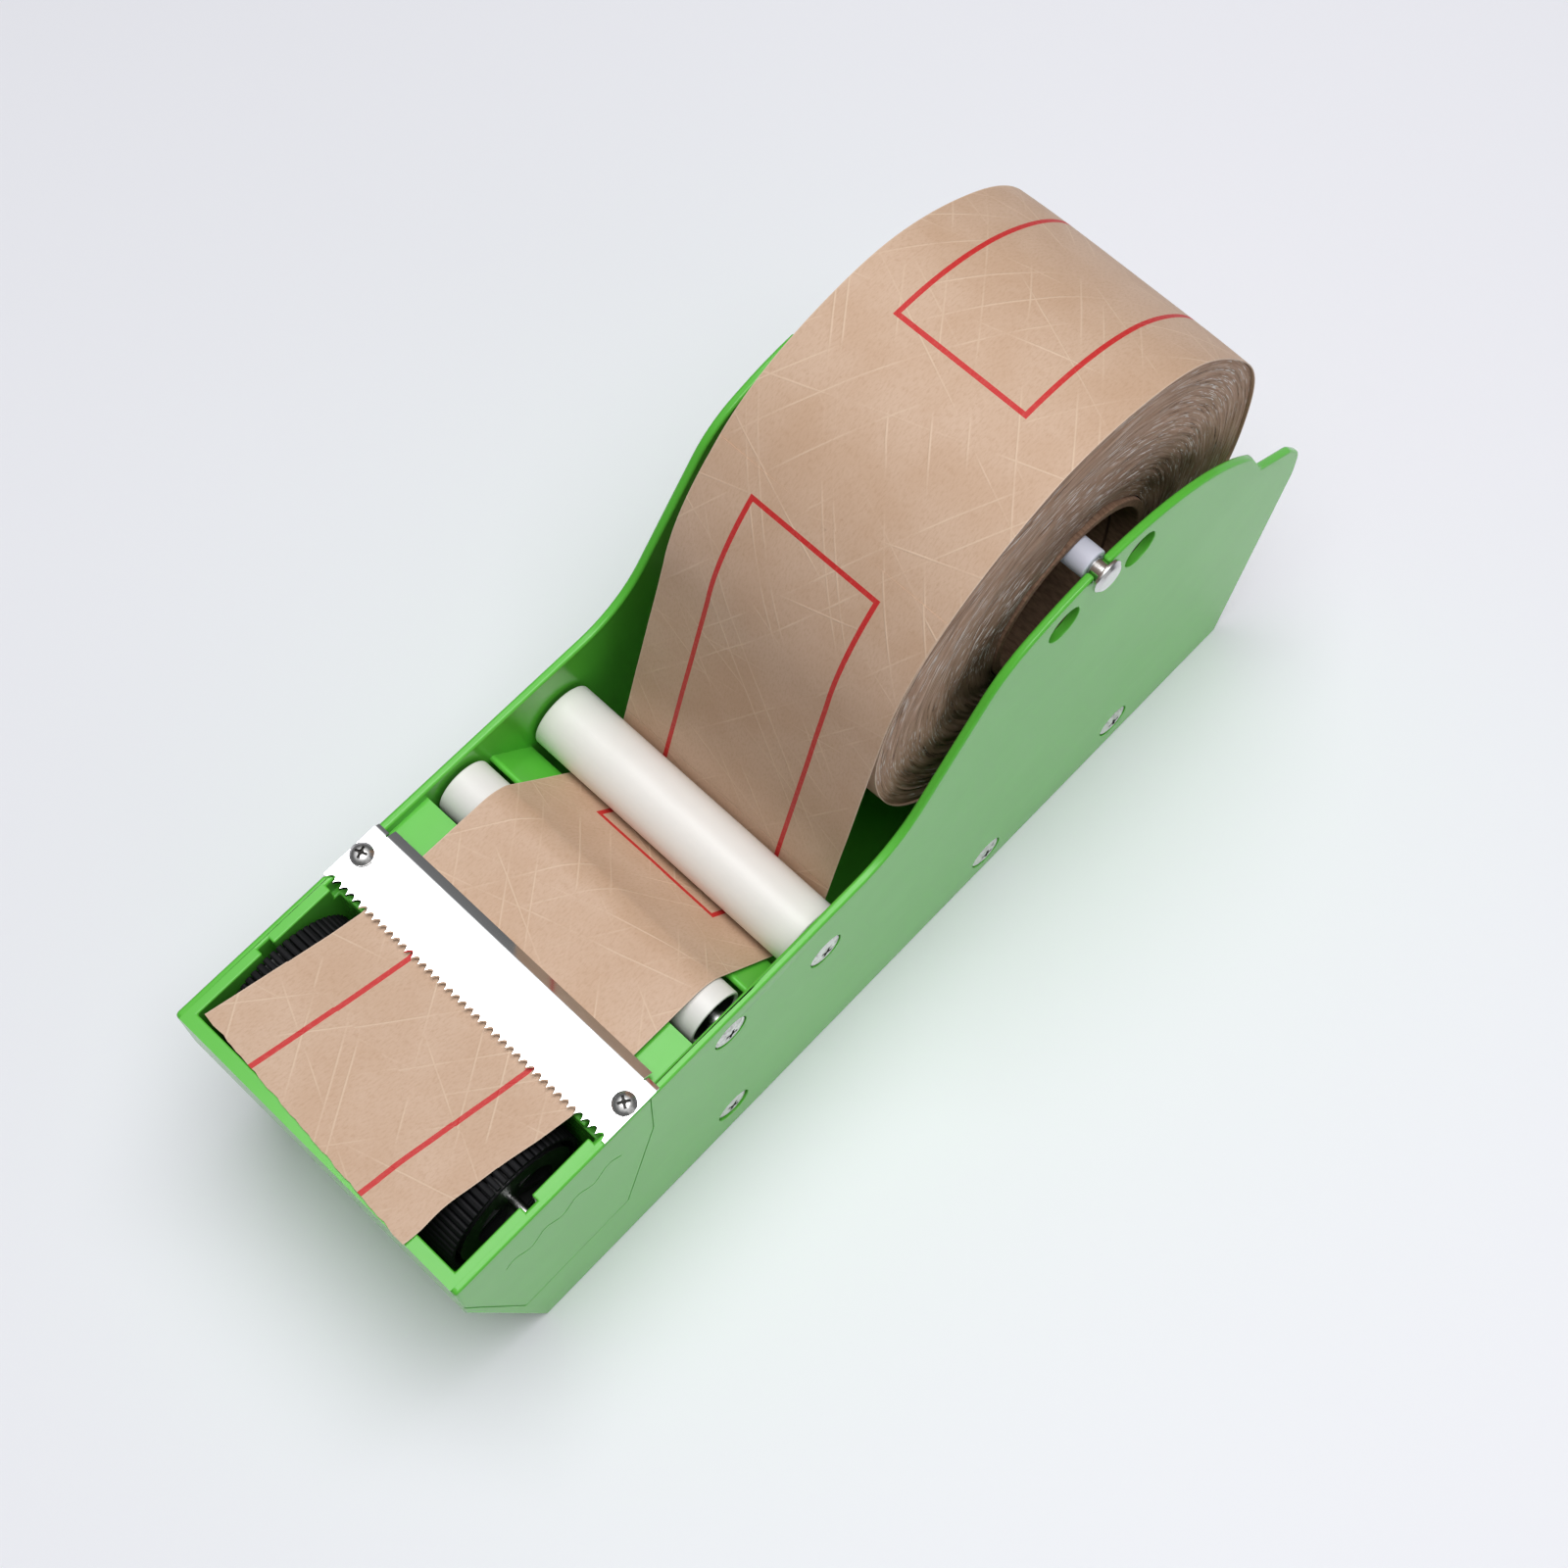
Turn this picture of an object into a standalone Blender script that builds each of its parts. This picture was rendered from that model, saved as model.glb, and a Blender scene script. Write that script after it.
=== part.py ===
"""Gummed tape dispenser with a threaded roll of reinforced kraft tape.

The front of the machine, where the tape comes out, faces -Y, and +Z is up.
Every size is in metres. Places along the machine are measured from its front face,
and the whole assembly is then shifted so that the origin lies under its middle.
"""
import bpy
import bmesh
import math

# Shared clearances
SEAT = 0.0003            # between pieces that rest on, or fit into, each other
RUN_GAP = 0.0006         # between a turning piece and the tape that rubs over it
OVERCUT = 0.002          # how far a cutter runs past the wall that it cuts

# Side panels
BODY_WIDTH = 0.120       # over both panels
PANEL_THICK = 0.0030
RIM_HEIGHT = 0.107       # the level rim over the water tank
FRONT_FACE_HEIGHT = 0.026  # upright part of the front, below the rim
FRONT_UNDERCUT = 0.021   # how far the front's foot stands back
FRONT_TOP_RADIUS = 0.0016
FOOT_END = 0.352         # rear end of the panel's straight foot
BODY_LENGTH = 0.3756     # front face to the tip of the rear ear
RISE_START = 0.183       # where the rim would turn up without its fillet
RISE_END = 0.2275        # where the rise would meet the big arc's tangent
RISE_TOP = 0.1635
RISE_LOW_RADIUS = 0.034
RISE_HIGH_RADIUS = 0.036
ARC_RADIUS = 0.099       # big arc over the roll's spindle
ARC_RISE = 0.002         # the arc's top over the spindle's axis
ARC_FRONT_REACH = 0.028  # from the spindle to the arc's two ends
ARC_REAR_REACH = 0.0755
EAR_INNER_TOP = 0.1195
EAR_OUTER_TOP = 0.1080
EAR_INNER = 0.3515       # foot of the step between the arc and the ear
EAR_OUTER = 0.3690
EAR_SHOULDER = 0.0985
EAR_CHIN = 0.086
EAR_STEP_RADIUS = 0.005
EAR_TOP_RADIUS = 0.006
EAR_SHOULDER_RADIUS = 0.010
EAR_CHIN_RADIUS = 0.020
PEG_HOLE_RADIUS = 0.0067
PEG_HOLE_DROP = 0.0125   # below the spindle's axis
PEG_HOLE_FRONT = 0.0152  # before the spindle's axis
PEG_HOLE_REAR = 0.0187   # behind it

# Screws through the panels, and the rods and axles that they hold
SIDE_SCREW_RADIUS = 0.0063
SIDE_SCREW_DOME = 0.0006
SIDE_SCREW_CREST_SHARE = 0.7  # of the head's radius, where the dome is half as high
SIDE_SCREW_SINK = 0.0012
SIDE_SHANK_RADIUS = 0.0020
SIDE_SHANK_REACH = 0.008  # into the rod
TIE_RADIUS = 0.0050
FRONT_TIE_Y, FRONT_TIE_Z = 0.1079, 0.0187
MIDDLE_TIE_Y, MIDDLE_TIE_Z = 0.2297, 0.0125
REAR_TIE_Y, REAR_TIE_Z = 0.2947, 0.0145

# Water tank
TANK_WALL = 0.0018
TANK_FRONT_WALL = 0.0046
TANK_REAR_WALL = 0.0025
TANK_FLOOR = 0.0030
TANK_LIFT = 0.0032       # tank and base plate over the floor
TANK_DEPTH = 0.062       # front face to the back of the rear wall

# Wetting wheel, as large as fits in the tank with these clearances
WHEEL_FRONT_GAP = 0.0006  # to the tank's sloping front wall
WHEEL_REAR_GAP = 0.0012  # to its rear wall
WHEEL_TOP_DROP = 0.0015  # the wheel's top below the rim
WHEEL_LEFT_GAP = 0.0007  # the wheel slides on its notches and stands to the left
WHEEL_RIGHT_GAP = 0.0082
WHEEL_RIBS = 60
WHEEL_RIB_DEPTH = 0.0007
WHEEL_RIB_TOP_SHARE = 0.5  # shares of a rib's pitch: its flat top, then down to the groove
WHEEL_GROOVE_START_SHARE = 0.6
WHEEL_GROOVE_END_SHARE = 0.9
WHEEL_RING_WIDTH = 0.0045  # around the recess in each end
WHEEL_RECESS_DEPTH = 0.005
WHEEL_HUB_RADIUS = 0.0055
WHEEL_HUB_STEP = 0.0025  # how far the hub stands out of the recess's floor
WHEEL_SHAFT_RADIUS = 0.0020

# Rollers
FRONT_ROLLER_Y = 0.1105
FRONT_ROLLER_DROP = 0.0138  # its axis below the rim
FRONT_ROLLER_RADIUS = 0.0101
REAR_ROLLER_Y = 0.1515
REAR_ROLLER_DROP = 0.0273
REAR_ROLLER_RADIUS = 0.0117
ROLLER_WALL = 0.0020
ROLLER_END_PLAY = 0.0022
ROLLER_SHIFT = -0.0012   # both rollers stand a little to the left
ROLLER_CAP_SINK = 0.0030
ROLLER_CAP_THICK = 0.0060
AXLE_RADIUS = 0.0035

# Tape deck, guide and base
DECK_THICK = 0.0030
DECK_END_GAP = 0.0019    # to the front roller
GUIDE_GAP = 0.0010       # under the tape
GUIDE_THICK = 0.0024
GUIDE_START = 0.010      # from the front roller, along the tape
GUIDE_END = 0.033
GUIDE_ROUND_SHARE = 0.45  # rounding of its front edges, as a share of its thickness
BASE_THICK = 0.0025
BASE_END = 0.345
FOOT_RADIUS = 0.007
FOOT_INSET = 0.012       # foot's middle from the panel's inner face
FRONT_FOOT_INSET = 0.016  # from the back of the tank
REAR_FOOT_INSET = 0.020  # from the rear end of the base plate

# Cutter blade
BLADE_THICK = 0.0010
BLADE_TIP_REACH = 0.0124  # from the screws to the tips of the teeth
BLADE_FOLD_REACH = 0.0088  # from the screws to where the rear lip turns down
BLADE_EAR_REACH = 0.0105  # from the screws to the rear edge of the ears beside the lip
BLADE_SIDE_INSET = 0.0002
BLADE_TEETH = 41
BLADE_TOOTH_DEPTH = 0.0022
BLADE_ROOT_SHARE = 0.45  # where a gap's root lies in a tooth's pitch
BLADE_END_LAND = 0.0012  # plain length at each end of the teeth
BLADE_LIP_REACH = 0.0036
BLADE_LIP_DROP = 0.0019
BLADE_LIP_INSET = 0.0052  # lip's ends from the blade's ends
BLADE_SCREW_INSET = 0.0042  # from the panel's outer face
BLADE_SCREW_RADIUS = 0.0038
BLADE_SCREW_HEIGHT = 0.0022
BLADE_SCREW_EDGE_SHARE = 0.55  # shares of the head's height and radius along its round
BLADE_SCREW_EDGE_RADIUS_SHARE = 0.97
BLADE_SCREW_CREST_SHARE = 0.9
BLADE_SCREW_CREST_RADIUS_SHARE = 0.7
BLADE_SHANK_RADIUS = 0.0014
BLADE_SHANK_LENGTH = 0.010
BLADE_BOSS_WIDTH = 0.0090  # from the panel's outer face inwards
BLADE_BOSS_GAP = 0.0025  # behind the tank
BLADE_BOSS_LENGTH = 0.0135
BLADE_BOSS_HEIGHT = 0.014
BLADE_SCREW_SETBACK = 0.0069  # from the boss's front

# Spindle, core and roll
SPINDLE_Y, SPINDLE_Z = 0.2685, 0.169
SPINDLE_RADIUS = 0.0030
SPINDLE_HEAD_RADIUS = 0.0058
SPINDLE_HEAD_THICK = 0.0030
SPINDLE_HEAD_ROUND = 0.0010
SPINDLE_END_CHAMFER = 0.0005
SPINDLE_RING_RADIUS = 0.0050    # the ring that keeps the shaft from sliding out to the right
SPINDLE_RING_THICK = 0.0010
SLEEVE_RADIUS = 0.0052
CORE_BORE_RADIUS = 0.0307
CORE_WALL = 0.0030
ROLL_RADIUS = 0.0850
TAPE_ROOM = 0.032        # free width beside the tape

# Tape
TAPE_THICK = 0.0005
LEAD_WRAP_DEG = 10.0     # how far the lead still hugs the roll
LEAD_CLEARANCE = 0.002   # from the lead's lower end forward to the rear roller's back
FLAP_OVERHANG = 0.0008   # past the front face, at the flap's right corner
FLAP_CUT_SKEW = 0.0063   # the left corner ends this much earlier

# How far the tape's middle line lies to the right of the machine's middle
ROLL_SHIFT = 0.0060
GUIDE_SHIFT = 0.0035     # under the rear roller
DECK_SHIFT = 0.0010      # from the front roller to the blade
FLAP_SHIFT = -0.0078     # at the free end

# Facets of round pieces
ROUND_LARGE = 96
ROUND_MEDIUM = 40
ROUND_SMALL = 20
ARC_SAG = 0.00005        # how far a chord lies inside its arc

# Worked out from the sizes above
HALF = BODY_WIDTH / 2
INNER = HALF - PANEL_THICK           # inner face of a panel
FITTED = INNER - SEAT                # ends of what fits between the panels
MIDDLE_X = (SEAT + SPINDLE_HEAD_THICK - SIDE_SCREW_DOME) / 2  # from the panels' middle plane
MIDDLE_Y = (BODY_LENGTH - FLAP_OVERHANG) / 2
ROLL_Z = SPINDLE_Z + SLEEVE_RADIUS + SEAT - CORE_BORE_RADIUS
FRONT_STEP_Z = RIM_HEIGHT - FRONT_FACE_HEIGHT
FRONT_ROLLER_Z = RIM_HEIGHT - FRONT_ROLLER_DROP
REAR_ROLLER_Z = RIM_HEIGHT - REAR_ROLLER_DROP
DECK_TOP = FRONT_ROLLER_Z + FRONT_ROLLER_RADIUS - SEAT
DECK_END = FRONT_ROLLER_Y - FRONT_ROLLER_RADIUS - DECK_END_GAP
FRONT_FOOT_Y = TANK_DEPTH - FRONT_FOOT_INSET
REAR_FOOT_Y = BASE_END - REAR_FOOT_INSET
BLADE_BOSS_FRONT = TANK_DEPTH + BLADE_BOSS_GAP
BLADE_BOSS_REAR = BLADE_BOSS_FRONT + BLADE_BOSS_LENGTH
BLADE_SCREW_Y = BLADE_BOSS_FRONT + BLADE_SCREW_SETBACK
BLADE_FRONT = BLADE_SCREW_Y - BLADE_TIP_REACH
BLADE_FOLD = BLADE_SCREW_Y + BLADE_FOLD_REACH
BLADE_EAR_REAR = BLADE_SCREW_Y + BLADE_EAR_REACH

# The wheel's circle touches three lines: the sloping front wall, the rear wall and the
# level of its top, each moved inwards by its clearance. The slope's normal points
# backwards and up.
SLOPE_LENGTH = math.hypot(FRONT_STEP_Z, FRONT_UNDERCUT)
SLOPE_BACK, SLOPE_UP = FRONT_STEP_Z / SLOPE_LENGTH, FRONT_UNDERCUT / SLOPE_LENGTH
WHEEL_ROOM = TANK_DEPTH - TANK_REAR_WALL - WHEEL_REAR_GAP - TANK_FRONT_WALL
WHEEL_RADIUS = ((WHEEL_ROOM * SLOPE_BACK + (FRONT_FACE_HEIGHT - WHEEL_TOP_DROP) * SLOPE_UP
                 - WHEEL_FRONT_GAP) / (1.0 + SLOPE_BACK + SLOPE_UP))
WHEEL_RECESS_RADIUS = WHEEL_RADIUS - WHEEL_RING_WIDTH
WHEEL_Y = TANK_FRONT_WALL + WHEEL_ROOM - WHEEL_RADIUS
WHEEL_Z = RIM_HEIGHT - WHEEL_TOP_DROP - WHEEL_RADIUS
TANK_INSIDE = FITTED - TANK_WALL       # half the width between the tank's side walls
WHEEL_WIDTH = 2 * TANK_INSIDE - WHEEL_LEFT_GAP - WHEEL_RIGHT_GAP
WHEEL_SHIFT = (WHEEL_LEFT_GAP - WHEEL_RIGHT_GAP) / 2
TAPE_WIDTH = BODY_WIDTH - TAPE_ROOM

COLOURS = {
    "green": ((0.20, 0.62, 0.14), 0.32, 0.0),
    "white": ((0.86, 0.85, 0.83), 0.35, 0.0),
    "black": ((0.015, 0.015, 0.016), 0.60, 0.0),
    "rubber": ((0.03, 0.03, 0.03), 0.85, 0.0),
    "steel": ((0.72, 0.72, 0.72), 0.25, 1.0),
    "mirror_steel": ((0.88, 0.88, 0.89), 0.10, 1.0),
    "kraft": ((0.58, 0.40, 0.27), 0.70, 0.0),
    "wound_kraft": ((0.38, 0.28, 0.21), 0.80, 0.0),
    "card": ((0.36, 0.24, 0.16), 0.85, 0.0),
}


def clear_scene():
    for obj in list(bpy.data.objects):
        bpy.data.objects.remove(obj, do_unlink=True)


def make_material(slot):
    colour, roughness, metallic = COLOURS[slot]
    mat = bpy.data.materials.get(slot) or bpy.data.materials.new(slot)
    mat.use_nodes = True
    shader = mat.node_tree.nodes["Principled BSDF"]
    shader.inputs["Base Color"].default_value = (*colour, 1.0)
    shader.inputs["Roughness"].default_value = roughness
    shader.inputs["Metallic"].default_value = metallic
    mat.diffuse_color = (*colour, 1.0)
    return mat


def add_mesh(name, bm, slot, place=(0.0, 0.0, 0.0)):
    """Turn a bmesh into an object under the assembly's empty."""
    bmesh.ops.recalc_face_normals(bm, faces=bm.faces)
    mesh = bpy.data.meshes.new(name)
    bm.to_mesh(mesh)
    bm.free()
    obj = bpy.data.objects.new(name, mesh)
    bpy.context.scene.collection.objects.link(obj)
    obj.parent = assembly
    obj.location = place
    if slot:
        mesh.materials.append(make_material(slot))
        mesh.shade_smooth()
        mesh.set_sharp_from_angle(angle=math.radians(35.0))
    return obj


def extruded(points, axis, low, high):
    """A prism: a flat outline swept along X, or along Z, from low to high."""
    bm = bmesh.new()
    if axis == "x":
        ends = [[bm.verts.new((x, p[0], p[1])) for p in points] for x in (low, high)]
    else:
        ends = [[bm.verts.new((p[0], p[1], z)) for p in points] for z in (low, high)]
    bm.faces.new(ends[0])
    bm.faces.new(ends[1])
    for i in range(len(points)):
        j = (i + 1) % len(points)
        bm.faces.new((ends[0][i], ends[0][j], ends[1][j], ends[1][i]))
    return bm


def turned(profile, count):
    """A solid turned about X from a closed profile of (x, radius) points."""
    bm = bmesh.new()
    rings = []
    for x, radius in profile:
        if radius == 0.0:
            rings.append([bm.verts.new((x, 0.0, 0.0))])
            continue
        ring = []
        for k in range(count):
            angle = 2.0 * math.pi * k / count
            ring.append(bm.verts.new((x, radius * math.cos(angle), radius * math.sin(angle))))
        rings.append(ring)
    for i in range(len(rings)):
        here, there = rings[i], rings[(i + 1) % len(rings)]
        for k in range(count):
            n = (k + 1) % count
            if len(here) == 1 and len(there) == 1:
                break
            if len(here) == 1:
                bm.faces.new((here[0], there[k], there[n]))
            elif len(there) == 1:
                bm.faces.new((here[k], here[n], there[0]))
            else:
                bm.faces.new((here[k], here[n], there[n], there[k]))
    return bm


def rod(low, high, radius, count=ROUND_SMALL):
    return turned([(low, 0.0), (low, radius), (high, radius), (high, 0.0)], count)


def block(low, high):
    points = [(low[0], low[1]), (high[0], low[1]), (high[0], high[1]), (low[0], high[1])]
    return extruded(points, "z", low[2], high[2])


def combine(target, other, operation):
    """Add or cut away another object, which is then only a hidden guide."""
    other.hide_render = True
    other.display_type = "WIRE"
    mod = target.modifiers.new(other.name, "BOOLEAN")
    mod.operation = operation
    mod.solver = "EXACT"
    mod.object = other


def cut(target, bm, place=(0.0, 0.0, 0.0)):
    cutter = add_mesh("cutter", bm, None, place)
    combine(target, cutter, "DIFFERENCE")


def join(target, bm, place=(0.0, 0.0, 0.0)):
    piece = add_mesh("added", bm, None, place)
    combine(target, piece, "UNION")


def rounded(corners):
    """An outline of (y, z, radius) corners, its round corners drawn as arcs."""
    points = []
    count = len(corners)
    for i in range(count):
        y, z, radius = corners[i]
        if radius == 0.0:
            points.append((y, z))
            continue
        before, after = corners[i - 1], corners[(i + 1) % count]
        back = unit(before[0] - y, before[1] - z)
        ahead = unit(after[0] - y, after[1] - z)
        half_turn = math.acos(max(-1.0, min(1.0, back[0] * ahead[0] + back[1] * ahead[1]))) / 2
        reach = radius / math.tan(half_turn)
        middle = unit(back[0] + ahead[0], back[1] + ahead[1])
        centre = (y + middle[0] * radius / math.sin(half_turn),
                  z + middle[1] * radius / math.sin(half_turn))
        start = math.atan2(z + back[1] * reach - centre[1], y + back[0] * reach - centre[0])
        end = math.atan2(z + ahead[1] * reach - centre[1], y + ahead[0] * reach - centre[0])
        sweep = (end - start + math.pi) % (2.0 * math.pi) - math.pi
        points += arc(centre[0], centre[1], radius, start, sweep)
    return points


def arc(y, z, radius, start, sweep):
    """Points along an arc, close enough together for its chords."""
    steps = max(1, math.ceil(abs(sweep) / (2.0 * math.acos(1.0 - ARC_SAG / radius))))
    points = []
    for k in range(steps + 1):
        angle = start + sweep * k / steps
        points.append((y + radius * math.cos(angle), z + radius * math.sin(angle)))
    return points


def unit(y, z):
    length = math.hypot(y, z)
    return y / length, z / length


def notch_outline(y, z, half, top):
    """An upright notch with a round bottom about (y, z), open at the top."""
    steps = ROUND_MEDIUM // 2
    points = []
    for k in range(steps + 1):
        angle = math.pi * (1.0 + k / steps)
        points.append((y + half * math.cos(angle), z + half * math.sin(angle)))
    return points + [(y + half, top), (y - half, top)]


def panel_outline():
    """A side panel's outline, from its front foot round by the rear to the front rim."""
    centre_z = SPINDLE_Z + ARC_RISE - ARC_RADIUS
    lower = [(FRONT_UNDERCUT, 0.0, 0.0),
             (FOOT_END, 0.0, 0.0),
             (BODY_LENGTH, EAR_CHIN, EAR_CHIN_RADIUS),
             (BODY_LENGTH, EAR_SHOULDER, EAR_SHOULDER_RADIUS),
             (EAR_OUTER, EAR_OUTER_TOP, EAR_TOP_RADIUS),
             (EAR_INNER, EAR_INNER_TOP, EAR_STEP_RADIUS)]
    first = math.acos(ARC_REAR_REACH / ARC_RADIUS)
    last = math.acos(-ARC_FRONT_REACH / ARC_RADIUS)
    top = [(y, z, 0.0) for y, z in arc(SPINDLE_Y, centre_z, ARC_RADIUS, first, last - first)]
    front = [(RISE_END, RISE_TOP, RISE_HIGH_RADIUS),
             (RISE_START, RIM_HEIGHT, RISE_LOW_RADIUS),
             (0.0, RIM_HEIGHT, FRONT_TOP_RADIUS),
             (0.0, FRONT_STEP_Z, 0.0)]
    return rounded(lower + top + front)


def side_screw_places():
    """Where screws pass through the panels, with the name of what each one holds."""
    return {"front_tie": (FRONT_TIE_Y, FRONT_TIE_Z),
            "middle_tie": (MIDDLE_TIE_Y, MIDDLE_TIE_Z),
            "rear_tie": (REAR_TIE_Y, REAR_TIE_Z),
            "front_axle": (FRONT_ROLLER_Y, FRONT_ROLLER_Z),
            "rear_axle": (REAR_ROLLER_Y, REAR_ROLLER_Z)}


def side_panel(side, name):
    """One moulded side, with its screw seats, peg holes, spindle notch and blade boss."""
    low, high = sorted((side * INNER, side * HALF))
    panel = add_mesh(name, extruded(panel_outline(), "x", low, high), "green")
    boss_low, boss_high = sorted((side * (HALF - BLADE_BOSS_WIDTH), side * (HALF - PANEL_THICK / 2)))
    join(panel, block((boss_low, BLADE_BOSS_FRONT, RIM_HEIGHT - BLADE_BOSS_HEIGHT),
                      (boss_high, BLADE_BOSS_REAR, RIM_HEIGHT)))
    through = sorted((side * (INNER - OVERCUT), side * (HALF + OVERCUT)))
    bore, seat = SIDE_SHANK_RADIUS + SEAT, SIDE_SCREW_RADIUS + SEAT
    stepped = [(INNER - OVERCUT, 0.0), (INNER - OVERCUT, bore), (HALF - SIDE_SCREW_SINK, bore),
               (HALF - SIDE_SCREW_SINK, seat), (HALF + OVERCUT, seat), (HALF + OVERCUT, 0.0)]
    for y, z in side_screw_places().values():
        cut(panel, turned([(side * x, radius) for x, radius in stepped], ROUND_MEDIUM), (0.0, y, z))
    for y in (SPINDLE_Y - PEG_HOLE_FRONT, SPINDLE_Y + PEG_HOLE_REAR):
        cut(panel, rod(*through, PEG_HOLE_RADIUS, ROUND_MEDIUM), (0.0, y, SPINDLE_Z - PEG_HOLE_DROP))
    notch = notch_outline(SPINDLE_Y, SPINDLE_Z, SPINDLE_RADIUS + SEAT,
                          SPINDLE_Z + ARC_RISE + OVERCUT)
    cut(panel, extruded(notch, "x", *through))
    screw_hole = BLADE_SHANK_RADIUS + SEAT
    hole = turned([(0.0, 0.0), (0.0, screw_hole), (BLADE_SHANK_LENGTH + OVERCUT, screw_hole),
                   (BLADE_SHANK_LENGTH + OVERCUT, 0.0)], ROUND_SMALL)
    stand_up(hole)
    cut(panel, hole, (side * (HALF - BLADE_SCREW_INSET), BLADE_SCREW_Y,
                      RIM_HEIGHT - BLADE_SHANK_LENGTH))
    return panel


def stand_up(bm):
    """Turn a piece made along X so that it stands along Z, its start at the bottom."""
    for vert in bm.verts:
        x, y, z = vert.co
        vert.co = (-z, y, x)


def tank_profile(inset_front, inset, floor, top):
    """The tank's outline seen from the side, set in by its walls."""
    slope = FRONT_UNDERCUT / FRONT_STEP_Z
    foot = FRONT_UNDERCUT - slope * floor + inset_front
    rear = TANK_DEPTH - inset
    return [(inset_front, top), (inset_front, FRONT_STEP_Z), (foot, floor), (rear, floor), (rear, top)]


def water_tank():
    """The open tank between the panels, with slots for the wheel's shaft."""
    rear_top = DECK_TOP - DECK_THICK - SEAT
    tank = add_mesh("water_tank", extruded(tank_profile(0.0, 0.0, TANK_LIFT, RIM_HEIGHT),
                                           "x", -FITTED, FITTED), "green")
    cut(tank, extruded(tank_profile(TANK_FRONT_WALL, TANK_REAR_WALL, TANK_LIFT + TANK_FLOOR,
                                    RIM_HEIGHT + OVERCUT), "x", -TANK_INSIDE, TANK_INSIDE))
    cut(tank, block((-FITTED - OVERCUT, TANK_DEPTH - TANK_REAR_WALL - OVERCUT, rear_top),
                    (FITTED + OVERCUT, TANK_DEPTH + OVERCUT, RIM_HEIGHT + OVERCUT)))
    slot = notch_outline(WHEEL_Y, WHEEL_Z, WHEEL_SHAFT_RADIUS + SEAT, RIM_HEIGHT + OVERCUT)
    cut(tank, extruded(slot, "x", -FITTED - OVERCUT, FITTED + OVERCUT))
    return tank


def tape_deck():
    """The plate that carries the tape from the front roller to the blade."""
    boss_side = HALF - BLADE_BOSS_WIDTH - SEAT
    back = BLADE_BOSS_REAR + SEAT
    front = TANK_DEPTH - TANK_REAR_WALL
    outline = [(-boss_side, front), (boss_side, front), (boss_side, back), (FITTED, back),
               (FITTED, DECK_END), (-FITTED, DECK_END), (-FITTED, back), (-boss_side, back)]
    return add_mesh("tape_deck", extruded(outline, "z", DECK_TOP - DECK_THICK, DECK_TOP), "green")


def tangent(first, second):
    """The straight run of a belt from one circle to the next, as two points.

    A circle is (y, z, radius, turn). The belt runs over circles with turn 1 and under
    circles with turn -1 on its way to the front.
    """
    y1, z1, r1, s1 = first
    y2, z2, r2, s2 = second
    dy, dz = y2 - y1, z2 - z1
    length = math.hypot(dy, dz)
    spread = (s1 * r1 - s2 * r2) / length
    along = math.atan2(dz, dy)
    # the normal of the run, on the belt's outer side
    angle = along - math.acos(spread)
    ny, nz = math.cos(angle), math.sin(angle)
    return (y1 + s1 * r1 * ny, z1 + s1 * r1 * nz), (y2 + s2 * r2 * ny, z2 + s2 * r2 * nz)


def arc_points(circle, start, end):
    """Points round a circle from one tangent point to the next, the short way."""
    y, z, radius, _ = circle
    first = math.atan2(start[1] - z, start[0] - y)
    last = math.atan2(end[1] - z, end[0] - y)
    return arc(y, z, radius, first, (last - first + math.pi) % (2.0 * math.pi) - math.pi)


def tape_circles():
    """The round pieces that the tape's middle runs round, grown by its clearance."""
    over = SEAT + TAPE_THICK / 2
    rim_round = TANK_FRONT_WALL / 2
    return {"roll": (SPINDLE_Y, ROLL_Z, ROLL_RADIUS + over, 1),
            "rear_roller": (REAR_ROLLER_Y, REAR_ROLLER_Z, REAR_ROLLER_RADIUS + RUN_GAP + over, -1),
            "front_roller": (FRONT_ROLLER_Y, FRONT_ROLLER_Z, FRONT_ROLLER_RADIUS + over, 1),
            "wheel": (WHEEL_Y, WHEEL_Z, WHEEL_RADIUS + over, 1),
            "rim": (rim_round, RIM_HEIGHT - rim_round, rim_round + over, 1)}


def sheet(left, right, middles):
    """A closed sheet of tape between two edge paths, about the places of its middle line."""
    bm = bmesh.new()
    rows = []
    count = len(left)
    for i in range(count):
        before, after = max(i - 1, 0), min(i + 1, count - 1)
        row = []
        for path, side in ((left, -1), (right, 1)):
            x = middles[i] + side * TAPE_WIDTH / 2
            dy, dz = unit(path[after][0] - path[before][0], path[after][1] - path[before][1])
            y, z = path[i]
            lift = TAPE_THICK / 2
            row.append(bm.verts.new((x, y + dz * lift, z - dy * lift)))
            row.append(bm.verts.new((x, y - dz * lift, z + dy * lift)))
        rows.append(row)
    for here, there in zip(rows, rows[1:]):
        bm.faces.new((here[0], there[0], there[2], here[2]))
        bm.faces.new((here[1], here[3], there[3], there[1]))
        bm.faces.new((here[0], here[1], there[1], there[0]))
        bm.faces.new((here[2], there[2], there[3], here[3]))
    bm.faces.new((rows[0][0], rows[0][2], rows[0][3], rows[0][1]))
    bm.faces.new((rows[-1][0], rows[-1][1], rows[-1][3], rows[-1][2]))
    return bm


def point_along(path, distance):
    """The point at a distance along a path of points, from its start."""
    for here, there in zip(path, path[1:]):
        step = math.hypot(there[0] - here[0], there[1] - here[1])
        if distance <= step:
            share = distance / step
            return (here[0] + (there[0] - here[0]) * share, here[1] + (there[1] - here[1]) * share)
        distance -= step
    return path[-1]


def run_at(start, end, y):
    """The point of a straight run that lies at y."""
    share = (y - start[0]) / (end[0] - start[0])
    return (y, start[1] + (end[1] - start[1]) * share)


def path_length(path):
    return sum(math.hypot(b[0] - a[0], b[1] - a[1]) for a, b in zip(path, path[1:]))


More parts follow.
